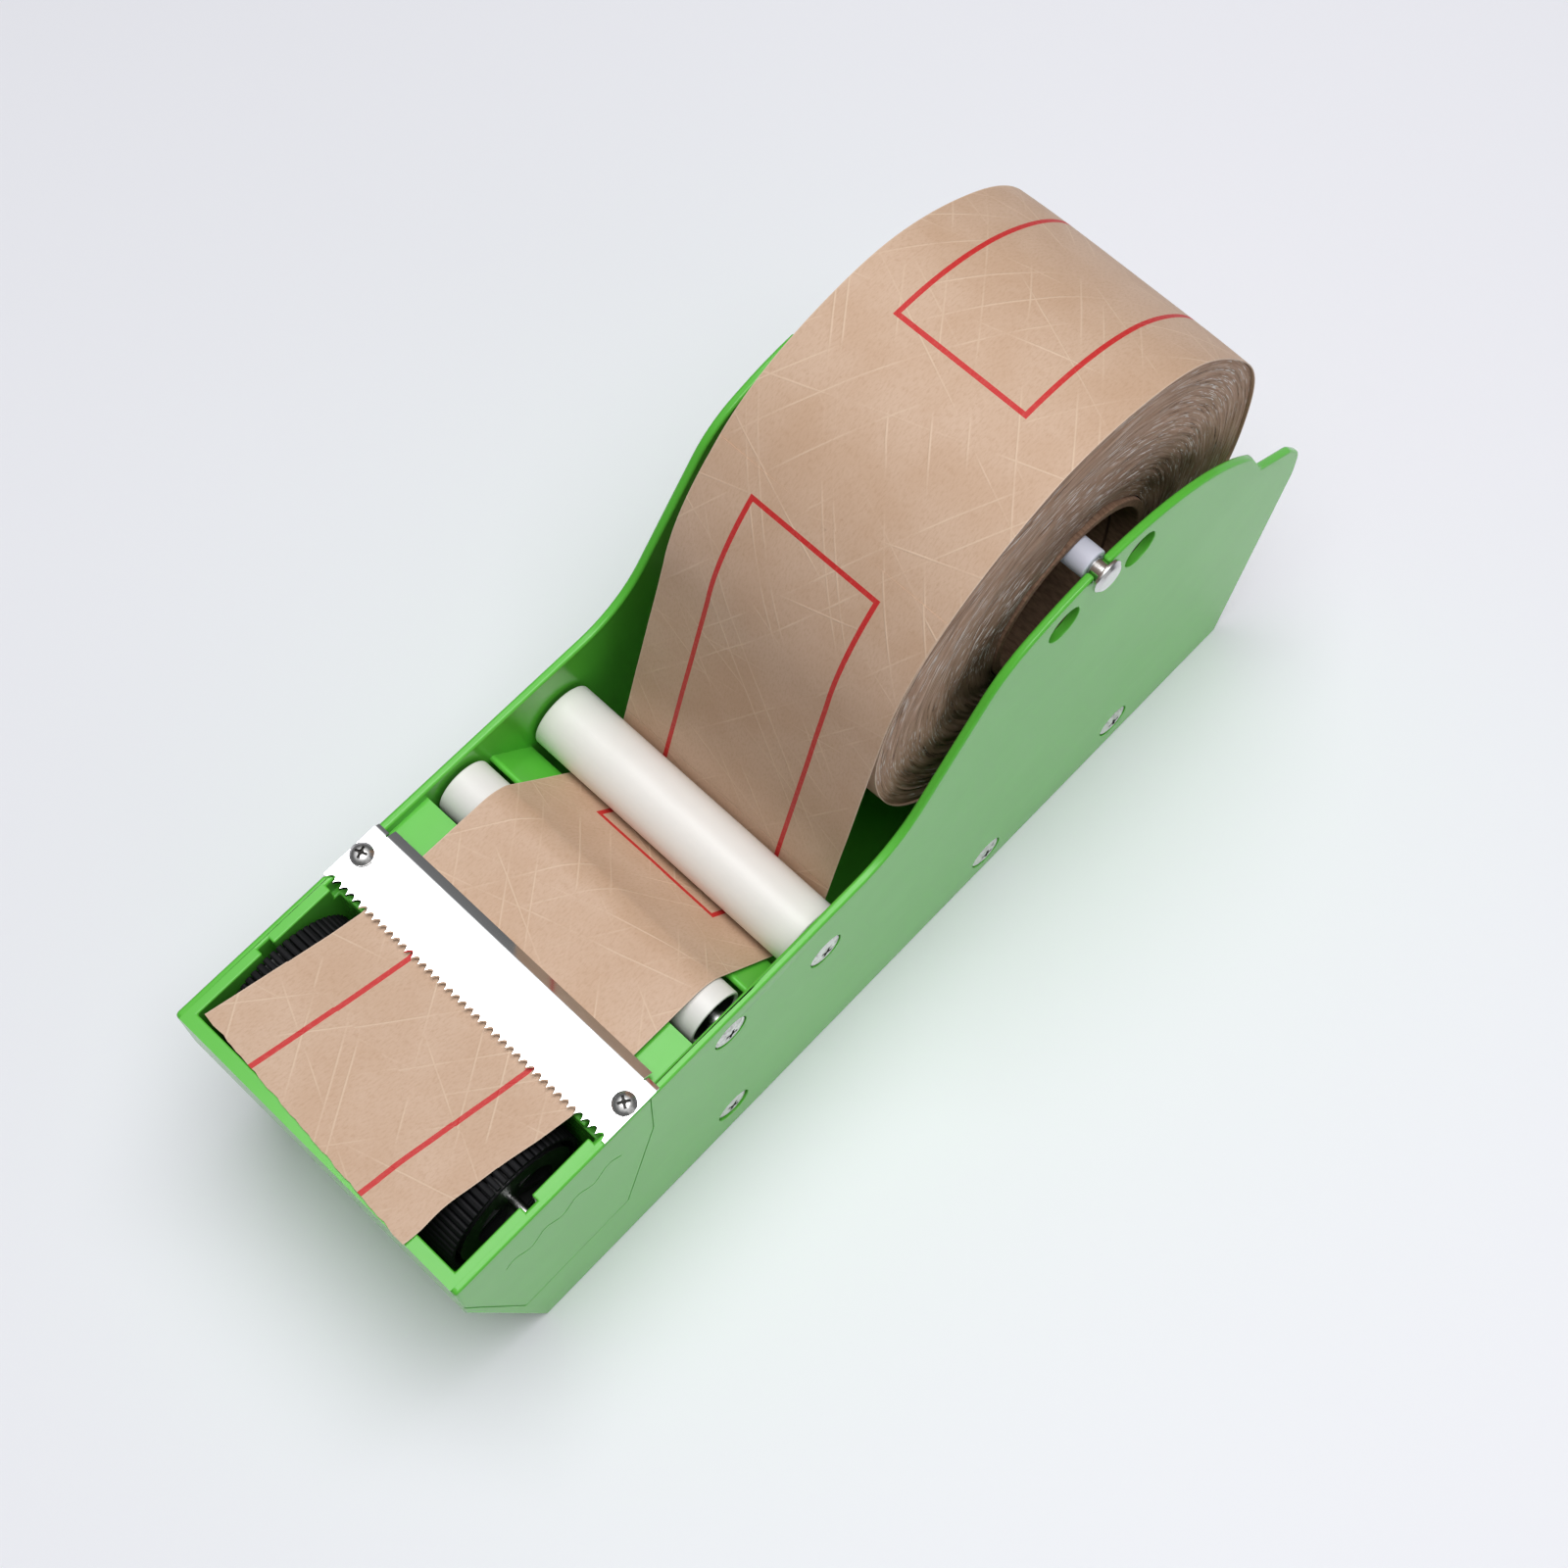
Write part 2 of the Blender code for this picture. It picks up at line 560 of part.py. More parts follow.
def lead_parting(start, end):
    """Where the tape is parted, with the place of its middle line there.

    The part above it lifts out with the roll, straight up behind the rear roller.
    """
    parting = run_at(start, end, REAR_ROLLER_Y + REAR_ROLLER_RADIUS + RUN_GAP + LEAD_CLEARANCE)
    share = path_length([start, parting]) / path_length([start, end])
    return parting, ROLL_SHIFT + (GUIDE_SHIFT - ROLL_SHIFT) * share


def tape_lead():
    """The tape from the roll down to the parting behind the rear roller."""
    circles = tape_circles()
    start, end = tangent(circles["roll"], circles["rear_roller"])
    parting, parting_shift = lead_parting(start, end)
    y, z, radius, _ = circles["roll"]
    angle = math.atan2(start[1] - z, start[0] - y) - math.radians(LEAD_WRAP_DEG)
    upper = (y + radius * math.cos(angle), z + radius * math.sin(angle))
    path = arc_points(circles["roll"], upper, start) + [parting]
    middles = [ROLL_SHIFT] * (len(path) - 1) + [parting_shift]
    return add_mesh("tape_lead", sheet(path, path, middles), "kraft")


def tape_strip():
    """The threaded tape from behind the rear roller to its free end over the front.

    Its middle line drifts to the left past the blade, and its end is torn off askew.
    """
    circles = tape_circles()
    start, first = tangent(circles["roll"], circles["rear_roller"])
    parting, parting_shift = lead_parting(start, first)
    below, up = tangent(circles["rear_roller"], circles["front_roller"])
    off_front, on_wheel = tangent(circles["front_roller"], circles["wheel"])
    off_wheel, on_rim = tangent(circles["wheel"], circles["rim"])
    parted = point_along([parting, first], SEAT)
    under = arc_points(circles["rear_roller"], first, below)
    over_front = arc_points(circles["front_roller"], up, off_front)
    deck_end = run_at(off_front, on_wheel, BLADE_FRONT)
    over_wheel = arc_points(circles["wheel"], on_wheel, off_wheel)
    free = [deck_end] + over_wheel + [on_rim, (-FLAP_OVERHANG, on_rim[1])]
    length = path_length(free)
    behind = [parted] + under + over_front
    left = behind + [deck_end]
    right = behind + [deck_end]
    middles = [parting_shift] + [GUIDE_SHIFT] * len(under) + [DECK_SHIFT] * (len(over_front) + 1)
    for i in range(1, len(free)):
        reach = path_length(free[:i + 1])
        skew = FLAP_CUT_SKEW if i > len(over_wheel) else 0.0
        right.append(free[i])
        left.append(point_along(free, reach - skew))
        middles.append(DECK_SHIFT + (FLAP_SHIFT - DECK_SHIFT) * reach / length)
    return add_mesh("tape_strip", sheet(left, right, middles), "kraft")


def guide_ramp():
    """The cross member under the rising tape, between the two rollers."""
    circles = tape_circles()
    low, high = tangent(circles["rear_roller"], circles["front_roller"])
    dy, dz = unit(low[0] - high[0], low[1] - high[1])
    top = GUIDE_GAP + TAPE_THICK / 2
    bottom = top + GUIDE_THICK
    corners = []
    for reach, drop in ((GUIDE_START, top), (GUIDE_END, top), (GUIDE_END, bottom),
                        (GUIDE_START, bottom)):
        corners.append((high[0] + dy * reach + dz * drop, high[1] + dz * reach - dy * drop,
                        GUIDE_THICK * GUIDE_ROUND_SHARE if reach == GUIDE_START else 0.0))
    return add_mesh("guide_ramp", extruded(rounded(corners), "x", -FITTED, FITTED), "green")


def base_plate():
    return add_mesh("base_plate", block((-FITTED, TANK_DEPTH + SEAT, TANK_LIFT),
                                        (FITTED, BASE_END, TANK_LIFT + BASE_THICK)), "green")


def rubber_feet():
    side = INNER - FOOT_INSET
    height = TANK_LIFT - SEAT
    for name, x, y in (("foot_front_left", -side, FRONT_FOOT_Y),
                       ("foot_front_right", side, FRONT_FOOT_Y),
                       ("foot_rear_left", -side, REAR_FOOT_Y),
                       ("foot_rear_right", side, REAR_FOOT_Y)):
        bm = rod(0.0, height, FOOT_RADIUS, ROUND_MEDIUM)
        stand_up(bm)
        add_mesh(name, bm, "rubber", (x, y, 0.0))


def bored_rod(name, radius, y, z):
    """A cross rod or axle, bored at both ends for the panel screws."""
    bore = SIDE_SHANK_RADIUS + SEAT
    depth = SIDE_SHANK_REACH + SEAT
    profile = [(-FITTED + depth, 0.0), (-FITTED + depth, bore), (-FITTED, bore), (-FITTED, radius),
               (FITTED, radius), (FITTED, bore), (FITTED - depth, bore), (FITTED - depth, 0.0)]
    return add_mesh(name, turned(profile, ROUND_SMALL), "steel", (0.0, y, z))


def side_screws():
    """A domed screw at each end of each rod and axle."""
    shoulder = HALF - SIDE_SCREW_SINK + SEAT
    for holds, (y, z) in side_screw_places().items():
        for side, hand in ((-1, "left"), (1, "right")):
            profile = [(FITTED - SIDE_SHANK_REACH, 0.0), (FITTED - SIDE_SHANK_REACH, SIDE_SHANK_RADIUS),
                       (shoulder, SIDE_SHANK_RADIUS), (shoulder, SIDE_SCREW_RADIUS),
                       (HALF, SIDE_SCREW_RADIUS),
                       (HALF + SIDE_SCREW_DOME / 2, SIDE_SCREW_RADIUS * SIDE_SCREW_CREST_SHARE),
                       (HALF + SIDE_SCREW_DOME, 0.0)]
            mirrored = [(side * x, radius) for x, radius in profile]
            add_mesh("screw_%s_%s" % (holds, hand), turned(mirrored, ROUND_SMALL), "steel",
                     (0.0, y, z))


def roller(name, radius, y, z):
    """A hollow white roller with a sunk black bearing cap in each end."""
    half = FITTED - ROLLER_END_PLAY
    bore = radius - ROLLER_WALL
    tube = [(-half, bore), (-half, radius), (half, radius), (half, bore)]
    place = (ROLLER_SHIFT, y, z)
    add_mesh(name, turned(tube, ROUND_MEDIUM), "white", place)
    outer = half - ROLLER_CAP_SINK
    inner = outer - ROLLER_CAP_THICK
    for side, hand in ((-1, "left"), (1, "right")):
        cap = [(side * inner, AXLE_RADIUS + SEAT), (side * inner, bore - SEAT),
               (side * outer, bore - SEAT), (side * outer, AXLE_RADIUS + SEAT)]
        add_mesh("%s_cap_%s" % (name, hand), turned(cap, ROUND_MEDIUM), "black", place)


def wetting_wheel():
    """The ribbed wheel that lifts water to the tape, and its shaft."""
    points = []
    for k in range(WHEEL_RIBS):
        for share, radius in ((0.0, WHEEL_RADIUS), (WHEEL_RIB_TOP_SHARE, WHEEL_RADIUS),
                              (WHEEL_GROOVE_START_SHARE, WHEEL_RADIUS - WHEEL_RIB_DEPTH),
                              (WHEEL_GROOVE_END_SHARE, WHEEL_RADIUS - WHEEL_RIB_DEPTH)):
            angle = 2.0 * math.pi * (k + share) / WHEEL_RIBS
            points.append((radius * math.cos(angle), radius * math.sin(angle)))
    place = (WHEEL_SHIFT, WHEEL_Y, WHEEL_Z)
    half = WHEEL_WIDTH / 2
    wheel = add_mesh("wetting_wheel", extruded(points, "x", -half, half), "black", place)
    floor = half - WHEEL_RECESS_DEPTH
    top = floor + WHEEL_HUB_STEP
    for side in (-1, 1):
        recess = [(floor, WHEEL_HUB_RADIUS), (floor, WHEEL_RECESS_RADIUS),
                  (half + OVERCUT, WHEEL_RECESS_RADIUS), (half + OVERCUT, 0.0),
                  (top, 0.0), (top, WHEEL_HUB_RADIUS)]
        cut(wheel, turned([(side * x, radius) for x, radius in recess], ROUND_MEDIUM), place)
    cut(wheel, rod(-half, half, WHEEL_SHAFT_RADIUS + SEAT), place)
    reach = FITTED - SEAT
    add_mesh("wheel_shaft", rod(-reach, reach, WHEEL_SHAFT_RADIUS), "steel",
             (0.0, WHEEL_Y, WHEEL_Z))


def cutter_blade():
    """The serrated blade over the deck, with its lip turned down behind."""
    half = HALF - BLADE_SIDE_INSET
    low = RIM_HEIGHT + SEAT
    high = low + BLADE_THICK
    pitch = (2 * half - 2 * BLADE_END_LAND) / BLADE_TEETH
    root = BLADE_FRONT + BLADE_TOOTH_DEPTH
    lip_half = half - BLADE_LIP_INSET
    outline = [(-lip_half, BLADE_FOLD), (-lip_half, BLADE_EAR_REAR), (-half, BLADE_EAR_REAR),
               (-half, BLADE_FRONT), (-half + BLADE_END_LAND, BLADE_FRONT)]
    for k in range(BLADE_TEETH):
        start = -half + BLADE_END_LAND + k * pitch
        outline.append((start + pitch * BLADE_ROOT_SHARE, root))
        outline.append((start + pitch, BLADE_FRONT))
    outline += [(half, BLADE_FRONT), (half, BLADE_EAR_REAR), (lip_half, BLADE_EAR_REAR),
                (lip_half, BLADE_FOLD)]
    blade = add_mesh("cutter_blade", extruded(outline, "z", low, high), "mirror_steel")
    lip_start, lip_end = BLADE_FOLD - BLADE_THICK, BLADE_FOLD + BLADE_LIP_REACH
    lip = [(lip_start, low), (lip_start, high), (BLADE_FOLD, high),
           (lip_end, high - BLADE_LIP_DROP), (lip_end, low - BLADE_LIP_DROP), (BLADE_FOLD, low)]
    join(blade, extruded(lip, "x", -lip_half + SEAT, lip_half - SEAT))
    for side in (-1, 1):
        hole = rod(-OVERCUT, OVERCUT, BLADE_SHANK_RADIUS + SEAT)
        stand_up(hole)
        cut(blade, hole, (side * (HALF - BLADE_SCREW_INSET), BLADE_SCREW_Y, low))
    return blade


def blade_screws():
    seat = RIM_HEIGHT + SEAT + BLADE_THICK + SEAT
    for side, hand in ((-1, "left"), (1, "right")):
        profile = [(RIM_HEIGHT - BLADE_SHANK_LENGTH + SEAT - seat, 0.0),
                   (RIM_HEIGHT - BLADE_SHANK_LENGTH + SEAT - seat, BLADE_SHANK_RADIUS),
                   (0.0, BLADE_SHANK_RADIUS), (0.0, BLADE_SCREW_RADIUS),
                   (BLADE_SCREW_HEIGHT * BLADE_SCREW_EDGE_SHARE,
                    BLADE_SCREW_RADIUS * BLADE_SCREW_EDGE_RADIUS_SHARE),
                   (BLADE_SCREW_HEIGHT * BLADE_SCREW_CREST_SHARE,
                    BLADE_SCREW_RADIUS * BLADE_SCREW_CREST_RADIUS_SHARE),
                   (BLADE_SCREW_HEIGHT, 0.0)]
        bm = turned(profile, ROUND_SMALL)
        stand_up(bm)
        add_mesh("blade_screw_" + hand, bm, "steel",
                 (side * (HALF - BLADE_SCREW_INSET), BLADE_SCREW_Y, seat))


def spindle():
    """The steel shaft that lies in the panels' notches, and its plastic sleeve."""
    inner = HALF + SEAT
    outer = inner + SPINDLE_HEAD_THICK
    edge = SPINDLE_HEAD_ROUND
    head = [(inner, SPINDLE_RADIUS), (inner, SPINDLE_HEAD_RADIUS),
            (outer - edge, SPINDLE_HEAD_RADIUS), (outer, SPINDLE_HEAD_RADIUS - edge), (outer, 0.0)]
    chamfer = SPINDLE_END_CHAMFER
    ring = -FITTED + SPINDLE_RING_THICK
    tail = [(-HALF, 0.0), (-HALF, SPINDLE_RADIUS - chamfer), (-HALF + chamfer, SPINDLE_RADIUS),
            (-FITTED, SPINDLE_RADIUS), (-FITTED, SPINDLE_RING_RADIUS),
            (ring, SPINDLE_RING_RADIUS), (ring, SPINDLE_RADIUS)]
    place = (0.0, SPINDLE_Y, SPINDLE_Z)
    add_mesh("spindle_shaft", turned(tail + head, ROUND_SMALL), "steel", place)
    bore = SPINDLE_RADIUS + SEAT
    start = ring + SEAT
    tube = [(start, bore), (start, SLEEVE_RADIUS), (FITTED, SLEEVE_RADIUS), (FITTED, bore)]
    add_mesh("spindle_sleeve", turned(tube, ROUND_MEDIUM), "white", place)


def tape_roll():
    """The wound tape and its card core, hanging on the sleeve."""
    low = ROLL_SHIFT - TAPE_WIDTH / 2
    high = ROLL_SHIFT + TAPE_WIDTH / 2
    core_outer = CORE_BORE_RADIUS + CORE_WALL
    place = (0.0, SPINDLE_Y, ROLL_Z)
    wound = [(low, core_outer + SEAT), (low, ROLL_RADIUS), (high, ROLL_RADIUS),
             (high, core_outer + SEAT)]
    add_mesh("tape_roll", turned(wound, ROUND_LARGE), "wound_kraft", place)
    core = [(low, CORE_BORE_RADIUS), (low, core_outer), (high, core_outer), (high, CORE_BORE_RADIUS)]
    add_mesh("roll_core", turned(core, ROUND_LARGE), "card", place)


clear_scene()
assembly = bpy.data.objects.new("assembly", None)
bpy.context.scene.collection.objects.link(assembly)
assembly.location = (-MIDDLE_X, -MIDDLE_Y, 0.0)

side_panel(-1, "side_panel_left")
side_panel(1, "side_panel_right")
water_tank()
tape_deck()
guide_ramp()
base_plate()
rubber_feet()
bored_rod("front_tie", TIE_RADIUS, FRONT_TIE_Y, FRONT_TIE_Z)
bored_rod("middle_tie", TIE_RADIUS, MIDDLE_TIE_Y, MIDDLE_TIE_Z)
bored_rod("rear_tie", TIE_RADIUS, REAR_TIE_Y, REAR_TIE_Z)
bored_rod("front_axle", AXLE_RADIUS, FRONT_ROLLER_Y, FRONT_ROLLER_Z)
bored_rod("rear_axle", AXLE_RADIUS, REAR_ROLLER_Y, REAR_ROLLER_Z)
side_screws()
roller("front_roller", FRONT_ROLLER_RADIUS, FRONT_ROLLER_Y, FRONT_ROLLER_Z)
roller("rear_roller", REAR_ROLLER_RADIUS, REAR_ROLLER_Y, REAR_ROLLER_Z)
wetting_wheel()
cutter_blade()
blade_screws()
spindle()
tape_roll()
tape_lead()
tape_strip()
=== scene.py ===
"""Looks of a gummed tape dispenser with a threaded roll of reinforced kraft tape.

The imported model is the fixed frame: every piece made here takes its place and size from
it. Sizes are in metres, -Y is the front where the tape comes out, and +Z is up.
"""
import math

import bmesh
import bpy
import numpy as np
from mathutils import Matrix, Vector


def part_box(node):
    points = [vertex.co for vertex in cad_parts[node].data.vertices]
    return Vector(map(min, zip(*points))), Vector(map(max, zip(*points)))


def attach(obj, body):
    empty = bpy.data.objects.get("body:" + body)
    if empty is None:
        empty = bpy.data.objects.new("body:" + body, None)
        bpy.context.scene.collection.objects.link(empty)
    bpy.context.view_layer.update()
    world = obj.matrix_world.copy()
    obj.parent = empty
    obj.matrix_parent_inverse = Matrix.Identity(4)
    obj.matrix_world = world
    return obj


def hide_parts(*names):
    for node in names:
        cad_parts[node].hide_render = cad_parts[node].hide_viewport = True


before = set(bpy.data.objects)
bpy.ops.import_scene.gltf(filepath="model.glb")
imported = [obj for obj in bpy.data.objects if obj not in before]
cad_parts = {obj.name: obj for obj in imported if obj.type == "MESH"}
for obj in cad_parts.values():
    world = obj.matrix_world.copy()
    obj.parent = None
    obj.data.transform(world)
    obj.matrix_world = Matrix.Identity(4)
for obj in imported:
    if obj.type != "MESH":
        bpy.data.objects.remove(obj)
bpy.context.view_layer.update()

MM = 0.001

# Clearances and sheet sizes that the solids share
SEAT = 0.3 * MM
RUN_GAP = 0.6 * MM       # between the rear roller and the tape
TAPE_GAUGE = 0.5 * MM    # the room that the tape's path keeps for it
PAPER = 0.32 * MM        # the tape as it shows
PANEL_THICK = 3.0 * MM
PEG_HOLE_RADIUS, PEG_HOLE_DROP = 6.7 * MM, 12.5 * MM
PEG_HOLE_FRONT, PEG_HOLE_REAR = 15.2 * MM, 18.7 * MM
LEFT_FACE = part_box("side_panel_left")[0].x
RIGHT_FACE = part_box("side_panel_right")[1].x
MIDPLANE = (LEFT_FACE + RIGHT_FACE) / 2
SIDE_REACH = RIGHT_FACE - MIDPLANE

# The camera that saw the machine
CAMERA_PLACE = (0.240441, -0.223704, 0.872933)
CAMERA_TURN_DEG = (24.334, 0.704, 43.492)
CAMERA_LENS_MM = 62.287
CAMERA_SENSOR_MM = 36.0
CAMERA_SHIFT = (-0.01194, -0.07792)

# Colours, as they should look under plain light
GREEN = (0.118, 0.550, 0.056)
GREEN_DEEP = (0.106, 0.520, 0.048)
TUBE_WHITE = (0.830, 0.815, 0.790)
TUBE_SHADE = (0.780, 0.765, 0.740)
SLEEVE_WHITE = (0.730, 0.750, 0.870)
SLEEVE_SHADE = (0.660, 0.680, 0.800)
CAP_BLACK = (0.012, 0.012, 0.013)
RUBBER_BLACK = (0.005, 0.005, 0.006)
RUBBER_DUST = (0.012, 0.012, 0.012)
STEEL = (0.700, 0.695, 0.690)
STEEL_DARK = (0.480, 0.475, 0.470)
SCREW_BRIGHT = (0.700, 0.690, 0.680)
SCREW_DULL = (0.360, 0.350, 0.340)
# painted shade inside the screws' cross recesses
RECESS_SHADE_DARK = (0.012, 0.011, 0.010)
RECESS_SHADE_GREY = (0.060, 0.056, 0.052)
POLISHED = (0.930, 0.930, 0.935)
KRAFT = (0.565, 0.378, 0.258)
KRAFT_LIGHT = (0.615, 0.432, 0.312)
KRAFT_DARK = (0.445, 0.270, 0.165)
KRAFT_CUT = (0.780, 0.640, 0.520)
THREAD = (0.740, 0.560, 0.410)
PRINT_RED = (0.560, 0.022, 0.022)
LAYER_BROWN = (0.385, 0.240, 0.160)
LAYER_PALE = (0.590, 0.420, 0.320)
# painted shade for the gaps between wound layers and towards the roll's core
LAYER_SHADE = (0.065, 0.034, 0.018)
THREAD_END = (0.820, 0.790, 0.760)
CARD = (0.170, 0.095, 0.060)
CARD_SEAM = (0.085, 0.045, 0.030)
FLOOR_WHITE = (0.862, 0.864, 0.918)


class Span:
    """A node's place and size, from its box. Its radius is about the X axis."""

    def __init__(self, node):
        self.low, self.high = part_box(node)
        self.centre = (self.low + self.high) / 2
        self.half = (self.high.x - self.low.x) / 2
        self.radius = (self.high.z - self.low.z) / 2


# Node trees, written as calls and sums

def operator(operation, turned=False):
    """One operator of Link, whose values change places where it is the reflected form."""
    def apply(self, other):
        return self.math(operation, *((other, self) if turned else (self, other)))
    return apply


class Link:
    """An output in a node tree. A sum of links and numbers adds its own Math nodes."""

    def __init__(self, tree, socket):
        self.tree, self.socket = tree, socket

    def math(self, operation, *values):
        return self.tree.node("ShaderNodeMath", dict(enumerate(values)), operation=operation)

    def part(self, output):
        """Another output of the same node."""
        return Link(self.tree, self.socket.node.outputs[output])

    def __abs__(self):
        return self.math("ABSOLUTE", self)

    __add__ = __radd__ = operator("ADD")
    __mul__ = __rmul__ = operator("MULTIPLY")
    __sub__, __rsub__ = operator("SUBTRACT"), operator("SUBTRACT", True)
    __truediv__, __pow__ = operator("DIVIDE"), operator("POWER")
    __gt__, __lt__ = operator("GREATER_THAN"), operator("LESS_THAN")
    least, most = operator("MINIMUM"), operator("MAXIMUM")


class Tree:
    """A shader or geometry node tree that is filled in by calls."""

    def __init__(self, tree):
        self.tree = tree

    def node(self, kind, sockets=None, output=0, **settings):
        made = self.tree.nodes.new(kind)
        for name, value in settings.items():
            setattr(made, name, value)
        for name, value in (sockets or {}).items():
            for one in value if isinstance(value, list) else [value]:
                if isinstance(one, Link):
                    self.tree.links.new(one.socket, made.inputs[name])
                else:
                    made.inputs[name].default_value = one
        return Link(self, made.outputs[output]) if len(made.outputs) else None

    def xyz(self, x=0.0, y=0.0, z=0.0):
        return self.node("ShaderNodeCombineXYZ", {0: x, 1: y, 2: z})

    def split(self, vector):
        parts = self.node("ShaderNodeSeparateXYZ", {0: vector})
        return parts, parts.part(1), parts.part(2)

    def scaled(self, place, *scale):
        return self.node("ShaderNodeMapping", {"Vector": place, "Scale": scale})

    def noise(self, place, scale, detail=2.0, roughness=0.5):
        return self.node("ShaderNodeTexNoise", {"Vector": place, "Scale": scale,
                                                "Detail": detail, "Roughness": roughness})

    def smooth(self, value, low, high):
        """0 below low, 1 above high, and a smooth step between them."""
        return self.node("ShaderNodeMapRange", {"Value": value, "From Min": low, "From Max": high},
                         interpolation_type="SMOOTHSTEP")

    def mixed(self, share, first, second):
        first, second = (c if isinstance(c, Link) else (*c, 1.0) for c in (first, second))
        return self.node("ShaderNodeMix", {0: share, 6: first, 7: second}, 2, data_type="RGBA")

    def coats(self, colour, *layers):
        """A colour under others, each of which covers its share."""
        for share, over in layers:
            colour = self.mixed(share, colour, over)
        return colour

    def bump(self, height, depth, strength):
        return self.node("ShaderNodeBump", {"Height": height, "Distance": depth,
                                            "Strength": strength})

    def moved(self, geometry, shift, turn=(0.0, 0.0, 0.0)):
        return self.node("GeometryNodeTransform", {"Geometry": geometry, "Translation": shift,
                                                   "Rotation": turn})

    def coated(self, geometry, material):
        return self.node("GeometryNodeSetMaterial", {"Geometry": geometry, "Material": material})


def finish(name, build, **steady):
    """A material: build(tree, place) gives its colour, its roughness and any normal."""
    mat = bpy.data.materials.new(name)
    mat.use_nodes = True
    mat.node_tree.nodes.clear()
    tree = Tree(mat.node_tree)
    place = tree.node("ShaderNodeTexCoord", output="Object")
    sockets = dict(zip(("Base Color", "Roughness", "Normal"), build(tree, place)))
    sockets.update((key.replace("_", " "), value) for key, value in steady.items())
    shader = tree.node("ShaderNodeBsdfPrincipled", sockets)
    tree.node("ShaderNodeOutputMaterial", {"Surface": shader})
    return mat


# Finishes

def moulded_green(tree, place):
    """Glossy moulded plastic with a faint flow pattern, soft waves and light rubbing."""
    flow = tree.smooth(tree.noise(place, 22.0, 3.0), 0.3, 0.7)
    haze = tree.noise(place, 90.0, 3.0, 0.6)
    rubs = tree.smooth(tree.noise(tree.scaled(place, 1.0, 0.12, 1.0), 420.0, 3.0), 0.62, 0.80)
    return (tree.mixed(flow, GREEN_DEEP, GREEN),
            0.17 + haze * 0.06 + rubs * 0.07,
            tree.bump(tree.noise(place, 35.0), 0.12 * MM, 0.25))


def white_tube(tree, place):
    """Extruded white plastic: satin, with faint drawing lines along the tube."""
    lines = tree.noise(tree.scaled(place, 0.02, 1.0, 1.0), 900.0, 3.0)
    smudge = tree.smooth(tree.noise(place, 60.0, 4.0), 0.45, 0.75)
    return (tree.mixed(smudge * 0.5, TUBE_WHITE, TUBE_SHADE),
            0.33 + smudge * 0.10 + lines * 0.05,
            tree.bump(lines, 0.03 * MM, 0.4))


def sleeve_tube(tree, place):
    """Plain cool-white plastic that the core has rubbed round and round."""
    rubs = tree.noise(tree.scaled(place, 1.0, 0.1, 0.1), 700.0, 3.0)
    smudge = tree.smooth(tree.noise(place, 60.0, 4.0), 0.45, 0.75)
    return (tree.mixed(smudge * 0.5, SLEEVE_WHITE, SLEEVE_SHADE),
            0.36 + rubs * 0.14,
            tree.bump(rubs, 0.02 * MM, 0.4))


def black_cap(tree, place):
    """Hard black plastic, faintly mottled."""
    mottle = tree.noise(place, 300.0, 3.0)
    return (tree.mixed(tree.smooth(mottle, 0.55, 0.85), CAP_BLACK, RUBBER_DUST),
            0.30 + mottle * 0.15,
            tree.bump(mottle, 0.05 * MM, 0.4))


def black_rubber(tree, place):
    """Dull rubber, paler where dried water has left its dust."""
    dust = tree.smooth(tree.noise(place, 130.0, 5.0, 0.65), 0.48, 0.80)
    grain = tree.noise(place, 1700.0, 3.0)
    return (tree.mixed(dust * 0.7, RUBBER_BLACK, RUBBER_DUST),
            0.52 + grain * 0.22,
            tree.bump(grain, 0.10 * MM, 0.6))


def plated_steel(tree, place):
    """Nickel-plated steel with fine turning marks and a few dull spots."""
    marks = tree.noise(tree.scaled(place, 6.0, 1.0, 1.0), 300.0, 3.0)
    dull = tree.smooth(tree.noise(place, 240.0, 4.0), 0.50, 0.80)
    return (tree.mixed(dull * 0.35, STEEL, STEEL_DARK),
            0.18 + dull * 0.08 + marks * 0.05,
            tree.bump(marks, 0.004 * MM, 0.06))


def screw_steel(tree, place):
    """Nickel-plated screw heads, duller where a driver and fingers have been."""
    dull = tree.smooth(tree.noise(place, 520.0, 4.0), 0.42, 0.72)
    return (tree.mixed(dull, SCREW_BRIGHT, SCREW_DULL),
            0.20 + dull * 0.18,
            tree.bump(tree.noise(place, 900.0), 0.01 * MM, 0.3))


def recess_steel(tree, place):
    """The screws' recesses, coloured near-black as painted shade, mottled at random."""
    # painted shade: the recess faces are dark because shade falls in them
    shade_mottle = tree.noise(place, 1300.0, 3.0)
    return tree.mixed(shade_mottle, RECESS_SHADE_DARK, RECESS_SHADE_GREY), 0.45 + shade_mottle * 0.2


def polished_blade(tree, place):
    """Polished stainless sheet, with hairline scratches along its length."""
    hair = tree.noise(tree.scaled(place, 0.03, 1.0, 1.0), 5200.0, 3.0)
    cloud = tree.noise(place, 45.0, 3.0)
    return (tree.mixed(tree.smooth(cloud, 0.35, 0.8) * 0.5, POLISHED, STEEL),
            0.05 + tree.smooth(hair, 0.55, 0.8) * 0.07 + cloud * 0.04,
            tree.bump(hair, 0.004 * MM, 0.25))


THREAD_RUNS = (  # angle from the tape's length in degrees, mean spacing, width, phase
    (38.0, 12.0 * MM, 0.46 * MM, 3.1),
    (-31.0, 14.0 * MM, 0.44 * MM, 11.7),
    (66.0, 25.0 * MM, 0.40 * MM, 23.9),
    (-72.0, 29.0 * MM, 0.42 * MM, 41.3),
)
FRAME_LINE = 1.7 * MM
